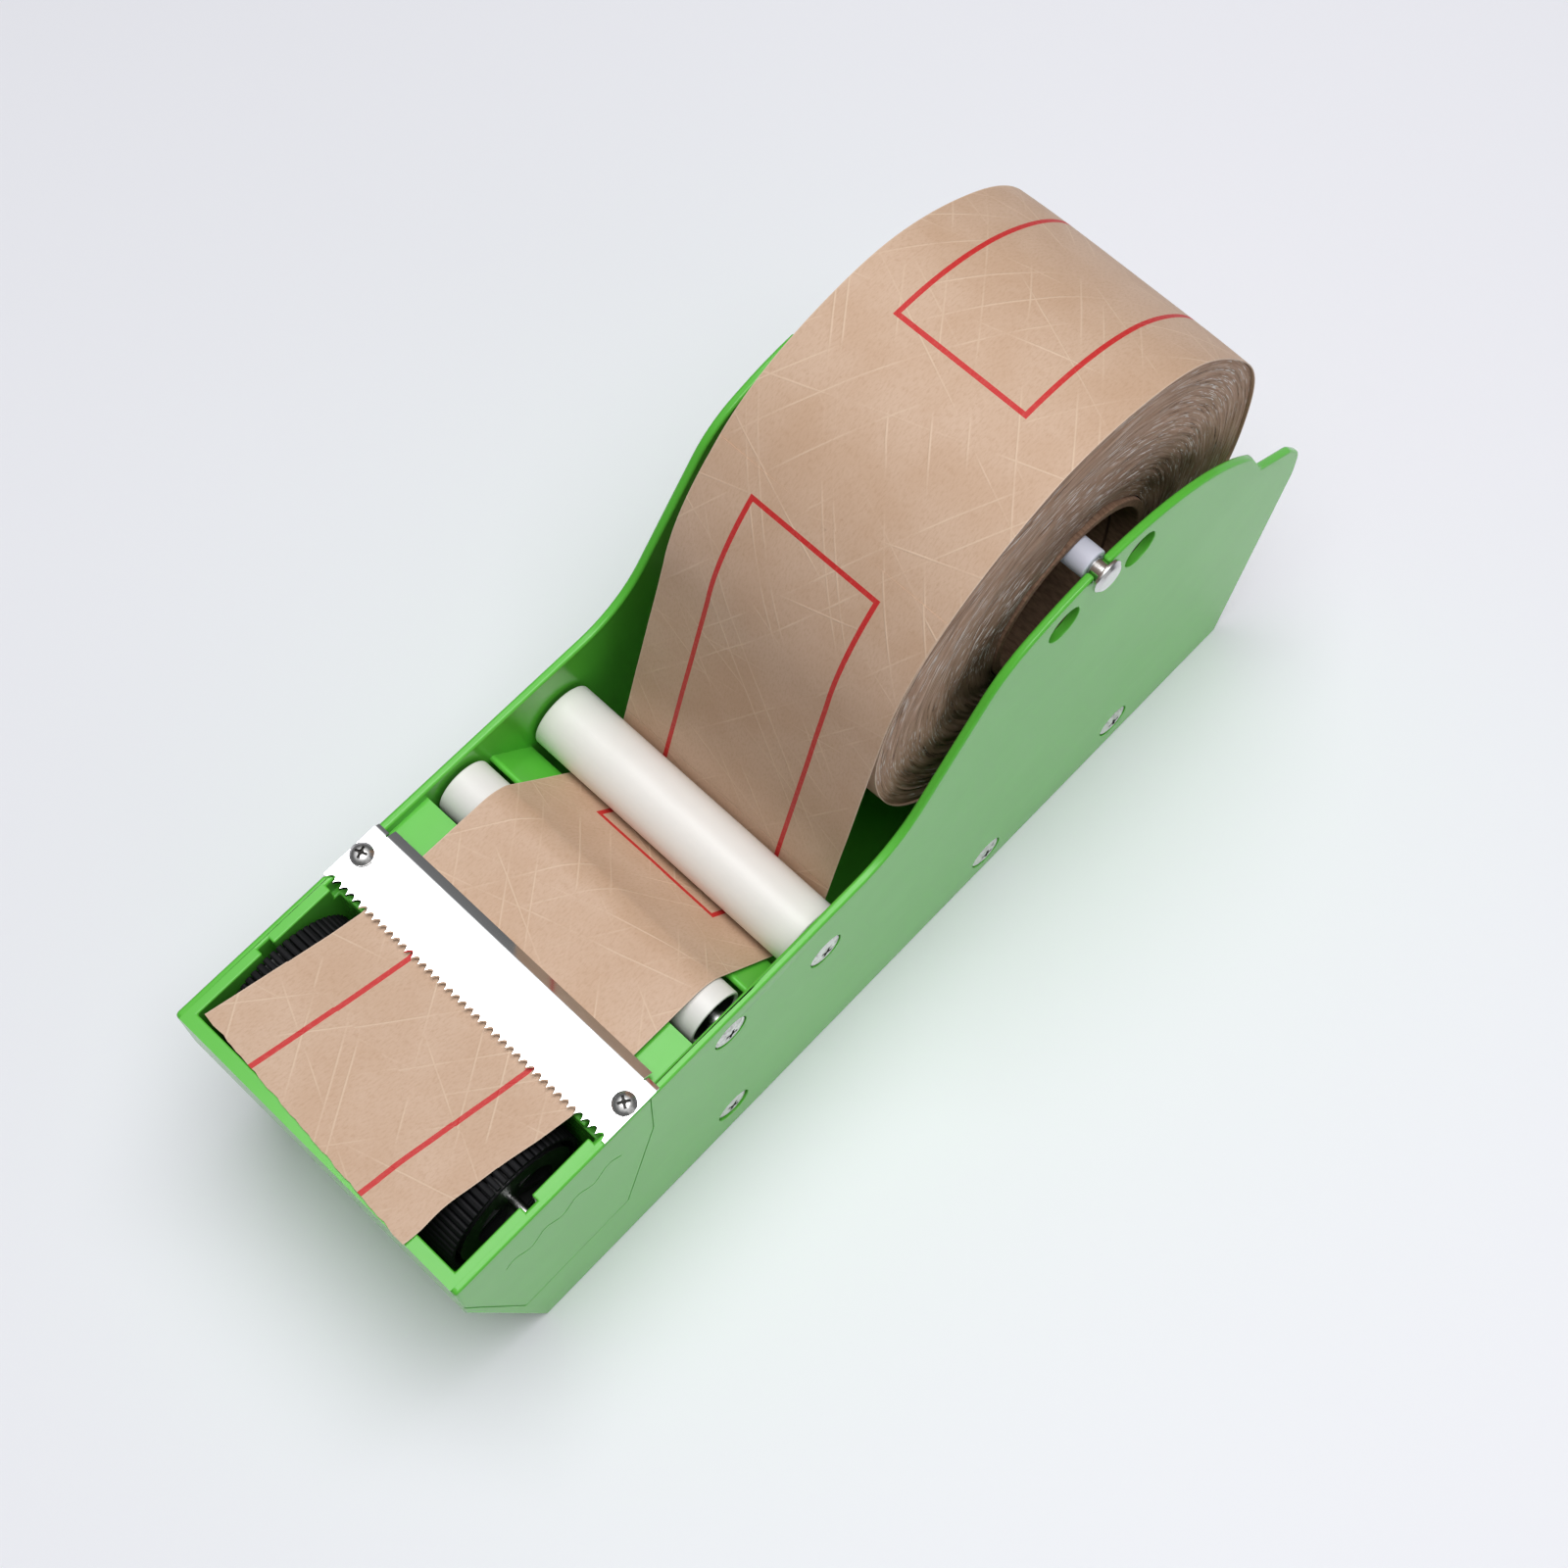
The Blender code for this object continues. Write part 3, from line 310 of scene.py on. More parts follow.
# printed frames: from and to across the tape, and from and to along it from its free end
FRAMES = (
    (-25.0 * MM, 27.0 * MM, -87.0 * MM, 84.0 * MM),
    (-27.0 * MM, 24.5 * MM, 149.0 * MM, 320.0 * MM),
    (-27.0 * MM, 24.5 * MM, 385.0 * MM, 550.0 * MM),
)


def thread_lines(tree, across, along, warp):
    """Pale crossing lines where the reinforcing threads stand up under the paper."""
    lines = None
    for angle_deg, spacing, width, phase in THREAD_RUNS:
        angle = math.radians(angle_deg)
        reach = (across * math.cos(angle) + along * math.sin(angle)) * (1.0 / spacing)
        reach = reach + warp * 0.08 + phase
        off = tree.node("ShaderNodeTexVoronoi", {"W": reach, "Scale": 1.0, "Randomness": 0.85},
                        voronoi_dimensions="1D") * spacing
        fade = tree.smooth(tree.noise(tree.xyz(across, along, phase), 30.0), 0.40, 0.66)
        line = (1.0 - tree.smooth(off, width * 0.2, width)) * fade
        lines = line if lines is None else lines.most(line)
    return lines


def frame_lines(across, along):
    """The outlines of the printed frames."""
    marks = None
    for left, right, start, end in FRAMES:
        outside = (abs(across - (left + right) / 2) - (right - left) / 2).most(
            abs(along - (start + end) / 2) - (end - start) / 2)
        mark = (outside < 0.0) * (outside > -FRAME_LINE)
        marks = mark if marks is None else marks.most(mark)
    return marks


def kraft_paper(tree, place):
    """Brown kraft with fibres, clouds, thread ridges and thin printed frames."""
    across, along, _ = tree.split(place.part("UV"))
    flat = tree.xyz(across, along)
    clouds = tree.noise(flat, 34.0, 4.0, 0.6)
    fibres = tree.noise(tree.scaled(flat, 1.0, 0.35, 1.0), 1500.0, 4.0, 0.65)
    flecks = tree.smooth(tree.noise(flat, 620.0), 0.70, 0.78)
    threads = thread_lines(tree, across, along, tree.noise(flat, 18.0))
    worn = tree.smooth(fibres, 0.30, 0.55)
    cut_edge = tree.smooth(abs(across), 44.5 * MM, 44.95 * MM)
    paper = tree.coats(KRAFT, (tree.smooth(clouds, 0.32, 0.68), KRAFT_LIGHT),
                       (tree.smooth(fibres, 0.42, 0.78) * 0.50, KRAFT_DARK),
                       (flecks * 0.45, KRAFT_DARK), (threads * 0.60, THREAD),
                       (frame_lines(across, along) * (0.92 + worn * 0.08), PRINT_RED),
                       (cut_edge * 0.35, KRAFT_CUT))
    return (paper, 0.46 + fibres * 0.18,
            tree.bump(threads + fibres * 0.15 + clouds * 0.5, 0.14 * MM, 0.55))


def from_axis(tree, place, node):
    """A place from a turned node's axis: along it, to the rear of it and above it."""
    centre = Span(node).centre
    return tree.split(tree.node("ShaderNodeVectorMath", {0: place, 1: (0.0, centre.y, centre.z)},
                                operation="SUBTRACT"))


def wound_edges(tree, place):
    """The edges of many wound layers, with frayed thread ends between them. Painted shade darkens
    the gaps between the layers and the part towards the core.
    """
    _, y, z = from_axis(tree, place, "tape_roll")
    radius = (y * y + z * z) ** 0.5
    ring = radius + tree.noise(tree.scaled(place, 0.2, 1.0, 1.0), 22.0, 1.0) * 1.6 * MM
    wound = tree.xyz(ring * 9.0, y / radius * 0.03, z / radius * 0.03)
    layers = tree.noise(wound, 130.0, 4.0, 0.6)
    fine = tree.noise(tree.scaled(wound, 1.0, 3.0, 3.0), 420.0, 2.0, 0.6)
    streaks = tree.smooth(tree.noise(wound, 300.0), 0.57, 0.66)
    patches = tree.smooth(tree.noise(place, 38.0, 3.0), 0.34, 0.58)
    # painted shade: near-black between the layers, and darker towards the core
    gap_shade = 1.0 - tree.smooth(layers, 0.30, 0.46)
    core_shade = 1.0 - tree.smooth(radius, 38.0 * MM, 70.0 * MM)
    tone = tree.coats(LAYER_BROWN, (tree.smooth(layers, 0.45, 0.75), LAYER_PALE),
                      (gap_shade * 0.80, LAYER_SHADE),
                      (tree.smooth(fine, 0.45, 0.75) * 0.30, LAYER_PALE),
                      (core_shade * 0.55, LAYER_SHADE), (streaks * patches * 0.85, THREAD_END))
    return (tone, 0.60 + fine * 0.25,
            tree.bump(layers + fine * 0.3, 0.15 * MM, 0.3))


def core_card(tree, place):
    """Spirally wound card, with the seams of its strips."""
    x, y, z = from_axis(tree, place, "roll_core")
    pitch = x * (1.0 / (38.0 * MM)) + x.math("ARCTAN2", z, y) * (1.0 / (2.0 * math.pi))
    strip = pitch.math("FRACT", pitch)
    seam = 1.0 - tree.smooth(strip.least(1.0 - strip), 0.006, 0.020)
    fibres = tree.noise(tree.scaled(place, 0.3, 1.0, 1.0), 900.0, 4.0, 0.65)
    tone = tree.coats(CARD, (tree.smooth(fibres, 0.3, 0.7) * 0.6, LAYER_BROWN), (seam, CARD_SEAM))
    return (tone, 0.62 + fibres * 0.2,
            tree.bump(fibres * 0.3 - seam, 0.15 * MM, 0.6))


def floor_paper(tree, place):
    """A white sweep, very slightly uneven in its tone."""
    cloud = tree.smooth(tree.noise(place, 2.0), 0.3, 0.7)
    return tree.mixed(cloud, FLOOR_WHITE, tuple(c * 0.985 for c in FLOOR_WHITE)), 0.55


FINISHES = {
    "green": finish("green_plastic", moulded_green, IOR=1.55, Specular_IOR_Level=0.28),
    "white": finish("white_tube_plastic", white_tube, IOR=1.48),
    "sleeve": finish("sleeve_plastic", sleeve_tube, IOR=1.48),
    "cap": finish("black_cap_plastic", black_cap),
    "rubber": finish("black_rubber", black_rubber, Specular_IOR_Level=0.16),
    "steel": finish("plated_steel", plated_steel, Metallic=1.0),
    "screw": finish("screw_steel", screw_steel, Metallic=1.0),
    "recess": finish("screw_recess", recess_steel, Metallic=0.6),
    "blade": finish("polished_stainless", polished_blade, Metallic=1.0),
    "kraft": finish("kraft_paper", kraft_paper, Specular_IOR_Level=0.4),
    "wound": finish("wound_tape_edges", wound_edges, Specular_IOR_Level=0.2),
    "card": finish("core_card", core_card, Specular_IOR_Level=0.2),
    "floor": finish("floor_paper", floor_paper),
}


# Geometry helpers

def placed(name, data):
    """An object that holds data, linked to the scene."""
    thing = bpy.data.objects.new(name, data)
    bpy.context.scene.collection.objects.link(thing)
    return thing


def new_piece(name, mesh, look, sharp_deg):
    mesh.materials.clear()
    mesh.materials.append(FINISHES[look])
    mesh.shade_smooth()
    mesh.set_sharp_from_angle(angle=math.radians(sharp_deg))
    return placed(name, mesh)


def plain_mesh(name, bm):
    mesh = bpy.data.meshes.new(name)
    bm.to_mesh(mesh)
    bm.free()
    return mesh


def applied(piece):
    """Turn a piece's live modifiers into plain mesh."""
    graph = bpy.context.evaluated_depsgraph_get()
    mesh = bpy.data.meshes.new_from_object(piece.evaluated_get(graph), depsgraph=graph)
    piece.modifiers.clear()
    piece.data = mesh
    return piece


def modify(piece, kind, **settings):
    modifier = piece.modifiers.new(kind.lower(), kind)
    for name, value in settings.items():
        setattr(modifier, name, value)
    return modifier


def hand_over(piece, body, slot, *nodes):
    """Give a finished piece its body and hide the nodes it stands for. The slot is not used."""
    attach(piece, body)
    if nodes:
        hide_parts(*nodes)


def unit(y, z):
    length = math.hypot(y, z)
    return y / length, z / length


def arc(centre, radius, start, end, steps):
    """Points round a centre from one place's direction to another's, the short way."""
    first = math.atan2(start[1] - centre[1], start[0] - centre[0])
    last = math.atan2(end[1] - centre[1], end[0] - centre[0])
    sweep = (last - first + math.pi) % (2.0 * math.pi) - math.pi
    if steps is None:
        steps = max(2, int(abs(sweep) / math.radians(1.5)))
    return [(centre[0] + radius * math.cos(first + sweep * k / steps),
             centre[1] + radius * math.sin(first + sweep * k / steps)) for k in range(steps + 1)]


def rounded(corners, steps=5):
    """An outline of (a, b, radius) corners with its round corners drawn as arcs."""
    points = []
    for i, (a, b, radius) in enumerate(corners):
        if radius == 0.0:
            points.append((a, b))
            continue
        before, after = corners[i - 1], corners[(i + 1) % len(corners)]
        back = unit(before[0] - a, before[1] - b)
        ahead = unit(after[0] - a, after[1] - b)
        cosine = back[0] * ahead[0] + back[1] * ahead[1]
        half_turn = math.acos(max(-1.0, min(1.0, cosine))) / 2
        reach = radius / math.tan(half_turn)
        inward = unit(back[0] + ahead[0], back[1] + ahead[1])
        centre = (a + inward[0] * radius / math.sin(half_turn),
                  b + inward[1] * radius / math.sin(half_turn))
        points += arc(centre, radius, (a + back[0] * reach, b + back[1] * reach),
                      (a + ahead[0] * reach, b + ahead[1] * reach), steps)
    return points


def tube(half, bore, radius, inner_edge, outer_edge):
    """The profile of a tube, or of a rod where the bore is 0."""
    return rounded([(-half, bore, inner_edge), (-half, radius, outer_edge),
                    (half, radius, outer_edge), (half, bore, inner_edge)])


def mirrored(profile):
    return [(-along, radius) for along, radius in profile]


def lathe(bm, profile, place, count, axis="x"):
    """Turn a closed profile of (along, radius) points about the X or Z axis through place."""
    rings = []
    for along, radius in profile:
        ring = []
        for k in range(1 if radius == 0.0 else count):
            angle = 2.0 * math.pi * k / count
            c, s = radius * math.cos(angle), radius * math.sin(angle)
            offset = (along, c, s) if axis == "x" else (c, s, along)
            ring.append(bm.verts.new(Vector(place) + Vector(offset)))
        rings.append(ring)
    made = []
    for here, there in zip(rings, rings[1:] + rings[:1]):
        if len(here) == 1 and len(there) == 1:
            continue
        for k in range(count):
            n = (k + 1) % count
            corners = [here[k % len(here)], here[n % len(here)],
                       there[n % len(there)], there[k % len(there)]]
            made.append(bm.faces.new(list(dict.fromkeys(corners))))
    bmesh.ops.recalc_face_normals(bm, faces=made)


def evened(name, bm, look):
    """A turned piece whose flat faces stay flat beside their rounded edges."""
    piece = new_piece(name, plain_mesh(name, bm), look, 40.0)
    modify(piece, "WEIGHTED_NORMAL", keep_sharp=True, weight=80)
    return applied(piece)


def turned_piece(name, look, count, profiles, axis="x"):
    """One mesh from several (profile, place) turnings."""
    bm = bmesh.new()
    for profile, place in profiles:
        lathe(bm, profile, place, count, axis)
    return evened(name, bm, look)


def prism(bm, rows):
    """A closed bar through rows of four places."""
    rows = [[bm.verts.new(place) for place in row] for row in rows]
    faces = [bm.faces.new(rows[0]), bm.faces.new(rows[-1])]
    for here, there in zip(rows, rows[1:]):
        for k in range(4):
            n = (k + 1) % 4
            faces.append(bm.faces.new((here[k], here[n], there[n], there[k])))
    bmesh.ops.recalc_face_normals(bm, faces=faces)


# Green mouldings

EDGE_ROUND = 0.6 * MM
PANEL_EDGE_ROUND = 1.0 * MM
HOLE_EDGE_SHARE = 0.35
HOLE_MARGIN = 0.8 * MM
SHARP_DEG, FLAT_DEG = 32.0, 0.6
SEAT_DEEPER = 0.8 * MM
INTO_PANEL = 0.9 * MM       # how far the tank's sides run on into the panels' rounded edges
GROOVE_WIDTH = 0.50 * MM
GROOVE_DEPTH = 0.35 * MM
# the engraved marks on the right panel, in mm from the front face and up
OUTLINE_MARK = ((77.8, 108.0), (76.5, 79.2), (61.1, 32.5), (16.7, 31.8), (3.6, 77.9), (-0.8, 92.6))
WAVE_START, WAVE_END, WAVE_HEIGHT, WAVE_RISE, WAVE_LENGTH = 16.5, 63.5, 85.0, 2.1, 12.9
WAVE_STEPS = 90


def rounding_of(edge, holes, keep):
    """The share of a moulding's edge rounding that one edge takes."""
    if len(edge.link_faces) != 2 or edge.calc_face_angle() < math.radians(SHARP_DEG):
        return 0.0
    ends = [vert.co for vert in edge.verts]
    if keep and all(keep(place) for place in ends):
        return 0.0
    for y, z, radius in holes:
        if all(math.hypot(place.y - y, place.z - z) < radius for place in ends):
            return HOLE_EDGE_SHARE
    return 1.0


def softened(name, node, width, holes, reshape, keep=None):
    """A moulding: the solid's own shape with its edges rounded.

    Edges round the holes are rounded less, and edges between places for which keep is
    true stay sharp.
    """
    bm = bmesh.new()
    bm.from_mesh(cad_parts[node].data)
    bmesh.ops.remove_doubles(bm, verts=bm.verts, dist=0.001 * MM)
    bmesh.ops.dissolve_limit(bm, angle_limit=math.radians(FLAT_DEG), verts=bm.verts,
                             edges=bm.edges)
    for vert in bm.verts:
        reshape(vert.co)
    weight = bm.edges.layers.float.new("bevel_weight_edge")
    for edge in bm.edges:
        edge[weight] = rounding_of(edge, holes, keep)
    piece = new_piece(name, plain_mesh(name, bm), "green", 30.0)
    modify(piece, "BEVEL", width=width, segments=4, limit_method="WEIGHT",
           harden_normals=True, use_clamp_overlap=False, loop_slide=False)
    return applied(piece)


def groove_rows(path):
    """The corners of a groove's section at each point of a path on the right face."""
    for i, (y, z) in enumerate(path):
        before, after = path[max(i - 1, 0)], path[min(i + 1, len(path) - 1)]
        dy, dz = unit(after[0] - before[0], after[1] - before[1])
        yield [(RIGHT_FACE + out * GROOVE_DEPTH, y - dz * side * GROOVE_WIDTH / 2,
                z + dy * side * GROOVE_WIDTH / 2)
               for out, side in ((-1, -1), (-1, 1), (1, 1), (1, -1))]


def engrave(panel):
    """Cut the outline and the wave line into the right panel's outer face."""
    front_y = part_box("side_panel_right")[0].y
    wave = []
    for k in range(WAVE_STEPS + 1):
        y = WAVE_START + (WAVE_END - WAVE_START) * k / WAVE_STEPS
        swing = math.sin(2.0 * math.pi * (y - WAVE_START) / WAVE_LENGTH)
        wave.append((y, WAVE_HEIGHT + WAVE_RISE * swing))
    for path in (OUTLINE_MARK, wave):
        bm = bmesh.new()
        prism(bm, groove_rows([(front_y + y * MM, z * MM) for y, z in path]))
        tool = placed("groove", plain_mesh("groove", bm))
        modify(panel, "BOOLEAN", operation="DIFFERENCE", solver="EXACT", object=tool)
        applied(panel)
        bpy.data.objects.remove(tool)


def panel_holes():
    """Where the panels' round holes are, with a radius just beyond each."""
    spans = [Span(node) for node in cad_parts
             if node.startswith("screw_") and node.endswith("_right")]
    holes = [(span.centre.y, span.centre.z, span.radius + HOLE_MARGIN) for span in spans]
    spindle = Span("spindle_shaft").centre
    for back in (-PEG_HOLE_FRONT, PEG_HOLE_REAR):
        holes.append((spindle.y + back, spindle.z - PEG_HOLE_DROP, PEG_HOLE_RADIUS + HOLE_MARGIN))
    return holes


def sides_out(node):
    """A reshape that moves a node's outer side faces into the panels, so that no seam shows."""
    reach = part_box(node)[1].x - MIDPLANE

    def reshape(place):
        if abs(place.x - MIDPLANE) > reach - 0.01 * MM:
            place.x += math.copysign(INTO_PANEL + SEAT, place.x - MIDPLANE)
    return reshape


def screw_seats_in(place):
    """Sink the floors of the screws' seats a little deeper into the panels."""
    margin = 0.5 * MM
    if SIDE_REACH - PANEL_THICK + margin < abs(place.x - MIDPLANE) < SIDE_REACH - margin:
        place.x -= math.copysign(SEAT_DEEPER, place.x - MIDPLANE)


def in_panel(place):
    return abs(place.x - MIDPLANE) > SIDE_REACH - PANEL_THICK + 0.1 * MM


def make_mouldings():
    holes = panel_holes()
    for hand in ("left", "right"):
        node = "side_panel_" + hand
        panel = softened("shell_" + hand, node, PANEL_EDGE_ROUND, holes, screw_seats_in)
        if hand == "right":
            engrave(panel)
        hand_over(panel, "body", "green", node)
    for name, node in (("tank_shell", "water_tank"), ("deck_plate", "tape_deck"),
                       ("guide_bar", "guide_ramp"), ("base_pan", "base_plate")):
        piece = softened(name, node, EDGE_ROUND, (), sides_out(node), in_panel)
        hand_over(piece, "body", "green", node)


# Screws

SCREW_SIZES = ("Head Radius", "Rim Height", "Dome Height", "Dome Power", "Cross Length",
               "Cross Width", "Cross Depth", "Shank Radius", "Shank Length")
SIDE_HEAD = dict(zip(SCREW_SIZES, (6.15 * MM, 1.3 * MM, 0.75 * MM, 3.6, 4.8 * MM,
                                   1.1 * MM, 1.3 * MM, 2.0 * MM, 9.0 * MM)))
PAN_HEAD = dict(zip(SCREW_SIZES, (3.85 * MM, 0.45 * MM, 1.7 * MM, 2.7, 4.1 * MM,
                                  0.90 * MM, 1.2 * MM, 1.4 * MM, 9.0 * MM)))
SIDE_SUNK = {"front_tie": 0.7 * MM}
SIDE_SUNK_USUAL = 0.25 * MM
# turns of the screws' recesses, in radians
SIDE_SPINS = (0.5, 1.2, 0.15, 0.95, 0.7, 1.45, 0.3, 1.05, 0.85, 0.1)
PAN_SPINS = (0.35, 1.0)


def new_group(name, **inputs):
    """A geometry tree and its input node, with inputs named by the kind of their sockets."""
    group = bpy.data.node_groups.new(name, "GeometryNodeTree")
    for way in ("INPUT", "OUTPUT"):
        group.interface.new_socket("Geometry", in_out=way, socket_type="NodeSocketGeometry")
    for kind, names in inputs.items():
        for socket in names:
            group.interface.new_socket(socket, in_out="INPUT", socket_type="NodeSocket" + kind)
    tree = Tree(group)
    return tree, tree.node("NodeGroupInput")


def fastener_tree():
    """Cross-recessed round heads on shanks, one at each point of the input mesh."""
    tree, given = new_group("cross_head_screws", Float=SCREW_SIZES,
                            Material=("Material", "Recess Material"))
    (radius, rim, dome, power, cross_length, cross_width, cross_depth, shank_radius,
     shank_length) = (given.part(name) for name in SCREW_SIZES)
    steel, dark = given.part("Material"), given.part("Recess Material")

    # the head: a disc whose top is raised to a dome over its rim
    disc = tree.node("GeometryNodeMeshCylinder",
                     {"Vertices": 48, "Side Segments": 1, "Fill Segments": 8,
                      "Radius": radius, "Depth": rim}, fill_type="TRIANGLE_FAN")
    x, y, z = tree.split(tree.node("GeometryNodeInputPosition"))
    out = ((x * x + y * y) ** 0.5) / radius
    raised = tree.xyz(x, y, (z > 0.0) * (rim + dome * (1.0 - out ** power)))
    head = tree.node("GeometryNodeSetPosition", {"Geometry": disc, "Position": raised})
    head = tree.coated(head, steel)

    # the recess: two crossed bars and a pointed middle
    top = rim + dome
    cutters = []
    for length, width in ((cross_length, cross_width), (cross_width, cross_length)):
        size = tree.xyz(length, width, cross_depth * 2.0)
        cutters.append(tree.moved(tree.node("GeometryNodeMeshCube", {"Size": size}),
                                  tree.xyz(z=top)))
    cone = tree.node("GeometryNodeMeshCone", {"Vertices": 12, "Radius Top": cross_width * 0.35,
                                              "Radius Bottom": cross_width * 1.15,
                                              "Depth": cross_depth * 1.5})
    cutters.append(tree.moved(cone, tree.xyz(z=top + cross_depth * 0.2), (math.pi, 0.0, 0.0)))
    cutters = [tree.coated(cutter, dark) for cutter in cutters]
    head = tree.node("GeometryNodeMeshBoolean", {"Mesh 1": head, "Mesh 2": cutters},
                     operation="DIFFERENCE", solver="EXACT")

    shank = tree.node("GeometryNodeMeshCylinder", {"Vertices": 24, "Radius": shank_radius,
                                                   "Depth": shank_length})
    shank = tree.coated(tree.moved(shank, tree.xyz(z=shank_length * -0.5)), steel)
    screw = tree.node("GeometryNodeJoinGeometry", {"Geometry": [head, shank]})

    facing = tree.node("GeometryNodeInputNamedAttribute", {"Name": "facing"},
                       data_type="FLOAT_VECTOR")
    spin = tree.node("GeometryNodeInputNamedAttribute", {"Name": "spin"}, data_type="FLOAT")
    aimed = tree.node("FunctionNodeAlignRotationToVector", {"Vector": facing}, axis="Z")
    about = tree.node("FunctionNodeAxisAngleToRotation", {"Axis": (0.0, 0.0, 1.0), "Angle": spin})
    turned = tree.node("FunctionNodeRotateRotation", {"Rotation": aimed, "Rotate By": about},
                       rotation_space="LOCAL")
    screws = tree.node("GeometryNodeInstanceOnPoints",
                       {"Points": given, "Instance": screw, "Rotation": turned})
    real = tree.node("GeometryNodeRealizeInstances", {"Geometry": screws})
    tree.node("NodeGroupOutput", {"Geometry": real})
    return tree.tree


def grown(name, places, group, inputs, **attributes):
    """A geometry tree run on bare points that carry the values which it reads."""
    mesh = bpy.data.meshes.new(name)
    mesh.from_pydata(places, [], [])
    for attribute, values in attributes.items():
        kind, field = ("FLOAT", "value") if np.ndim(values) == 1 else ("FLOAT_VECTOR", "vector")
        mesh.attributes.new(attribute, kind, "POINT").data.foreach_set(field, np.ravel(values))
    piece = placed(name, mesh)
    modifier = modify(piece, "NODES", node_group=group)
    for item in group.interface.items_tree:
        if item.in_out == "INPUT" and item.name in inputs:
            modifier[item.identifier] = inputs[item.name]
    applied(piece)
    piece.data.shade_smooth()
    piece.data.set_sharp_from_angle(angle=math.radians(35.0))
    return piece


def make_screws():
    group = fastener_tree()
    steel = {"Material": FINISHES["screw"], "Recess Material": FINISHES["recess"]}
    nodes = sorted(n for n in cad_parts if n.startswith("screw_"))
    places, facing = [], []
    for node in nodes:
        span, side = Span(node), 1.0 if node.endswith("_right") else -1.0
        crown = span.high.x if side > 0.0 else span.low.x
        sunk = SIDE_SUNK.get(node[6:].rsplit("_", 1)[0], SIDE_SUNK_USUAL)
        drop = sunk + SIDE_HEAD["Rim Height"] + SIDE_HEAD["Dome Height"]
        places.append((crown - side * drop, span.centre.y, span.centre.z))
        facing.append((side, 0.0, 0.0))
    piece = grown("side_screws", places, group, {**SIDE_HEAD, **steel},
                  facing=facing, spin=SIDE_SPINS)
    hand_over(piece, "body", "steel", *nodes)

    nodes = ["blade_screw_left", "blade_screw_right"]
    height = PAN_HEAD["Rim Height"] + PAN_HEAD["Dome Height"]
    places = [(span.centre.x, span.centre.y, span.high.z - height) for span in map(Span, nodes)]
    piece = grown("pan_screws", places, group, {**PAN_HEAD, **steel},
                  facing=[(0.0, 0.0, 1.0)] * 2, spin=PAN_SPINS)
    hand_over(piece, "body", "steel", *nodes)


# Rollers, rods and feet

TUBE_WALL = 1.2 * MM
TUBE_EDGE = 0.5 * MM
CAP_FIT = 0.1 * MM
CAP_WALL = 0.9 * MM
CAP_SUNK = 0.5 * MM
CAP_EDGE, CAP_FINE_EDGE = 0.3 * MM, 0.2 * MM
HUB_STANDS = 0.8 * MM
ROD_EDGE = 0.5 * MM
FOOT_EDGE = 0.6 * MM
FOOT_TAPER = 0.88


def make_roller(name):
    """A white tube with a black cup round the axle in each end."""
    roller = Span(name)
    bore = roller.radius - TUBE_WALL
    shell = tube(roller.half, bore, roller.radius, TUBE_EDGE, TUBE_EDGE)
    piece = turned_piece(name + "_tube", "white", 128, [(shell, roller.centre)])
    hand_over(piece, name, "white", name)

    axle = Span(name.replace("roller", "axle")).radius
    lip, fit = roller.half - CAP_SUNK, bore - CAP_FIT
    cup, hub = fit - CAP_WALL, axle + CAP_WALL
    caps = []
    for hand in ("left", "right"):
        span = Span("%s_cap_%s" % (name, hand))
        inner, outer = sorted(abs(end.x - roller.centre.x) for end in (span.low, span.high))
        cap = rounded([(inner, axle + SEAT, 0.0), (inner, fit, CAP_FINE_EDGE),
                       (lip, fit, CAP_EDGE), (lip, cup, CAP_EDGE), (outer, cup, CAP_EDGE),
                       (outer, hub, CAP_EDGE), (outer + HUB_STANDS, hub, CAP_FINE_EDGE),
                       (outer + HUB_STANDS, axle + SEAT, 0.0)])
        caps.append((cap if hand == "right" else mirrored(cap), roller.centre))
    piece = turned_piece(name + "_bearings", "cap", 96, caps)
    hand_over(piece, name, "black", name + "_cap_left", name + "_cap_right")


def make_rods():
    """The axles and tie rods, rounded at their ends."""
    for name, nodes in (("axle_rods", ("front_axle", "rear_axle")),
                        ("tie_rods", ("front_tie", "middle_tie", "rear_tie"))):
        rods = [(tube(span.half, 0.0, span.radius, 0.0, ROD_EDGE), span.centre)
                for span in map(Span, nodes)]
        hand_over(turned_piece(name, "steel", 64, rods), "body", "steel", *nodes)


def make_feet():
    """Four rubber buttons, a little wider at the bottom."""
    nodes = sorted(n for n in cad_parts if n.startswith("foot_"))
    feet = []
    for span in map(Span, nodes):
        height = span.high.z - span.low.z
        foot = rounded([(0.0, 0.0, 0.0), (0.0, span.half, FOOT_EDGE),
                        (height, span.half * FOOT_TAPER, FOOT_EDGE), (height, 0.0, 0.0)])
        feet.append((foot, (span.centre.x, span.centre.y, span.low.z)))
    hand_over(turned_piece("rubber_feet", "rubber", 64, feet, "z"), "body", "rubber", *nodes)


# Wetting wheel

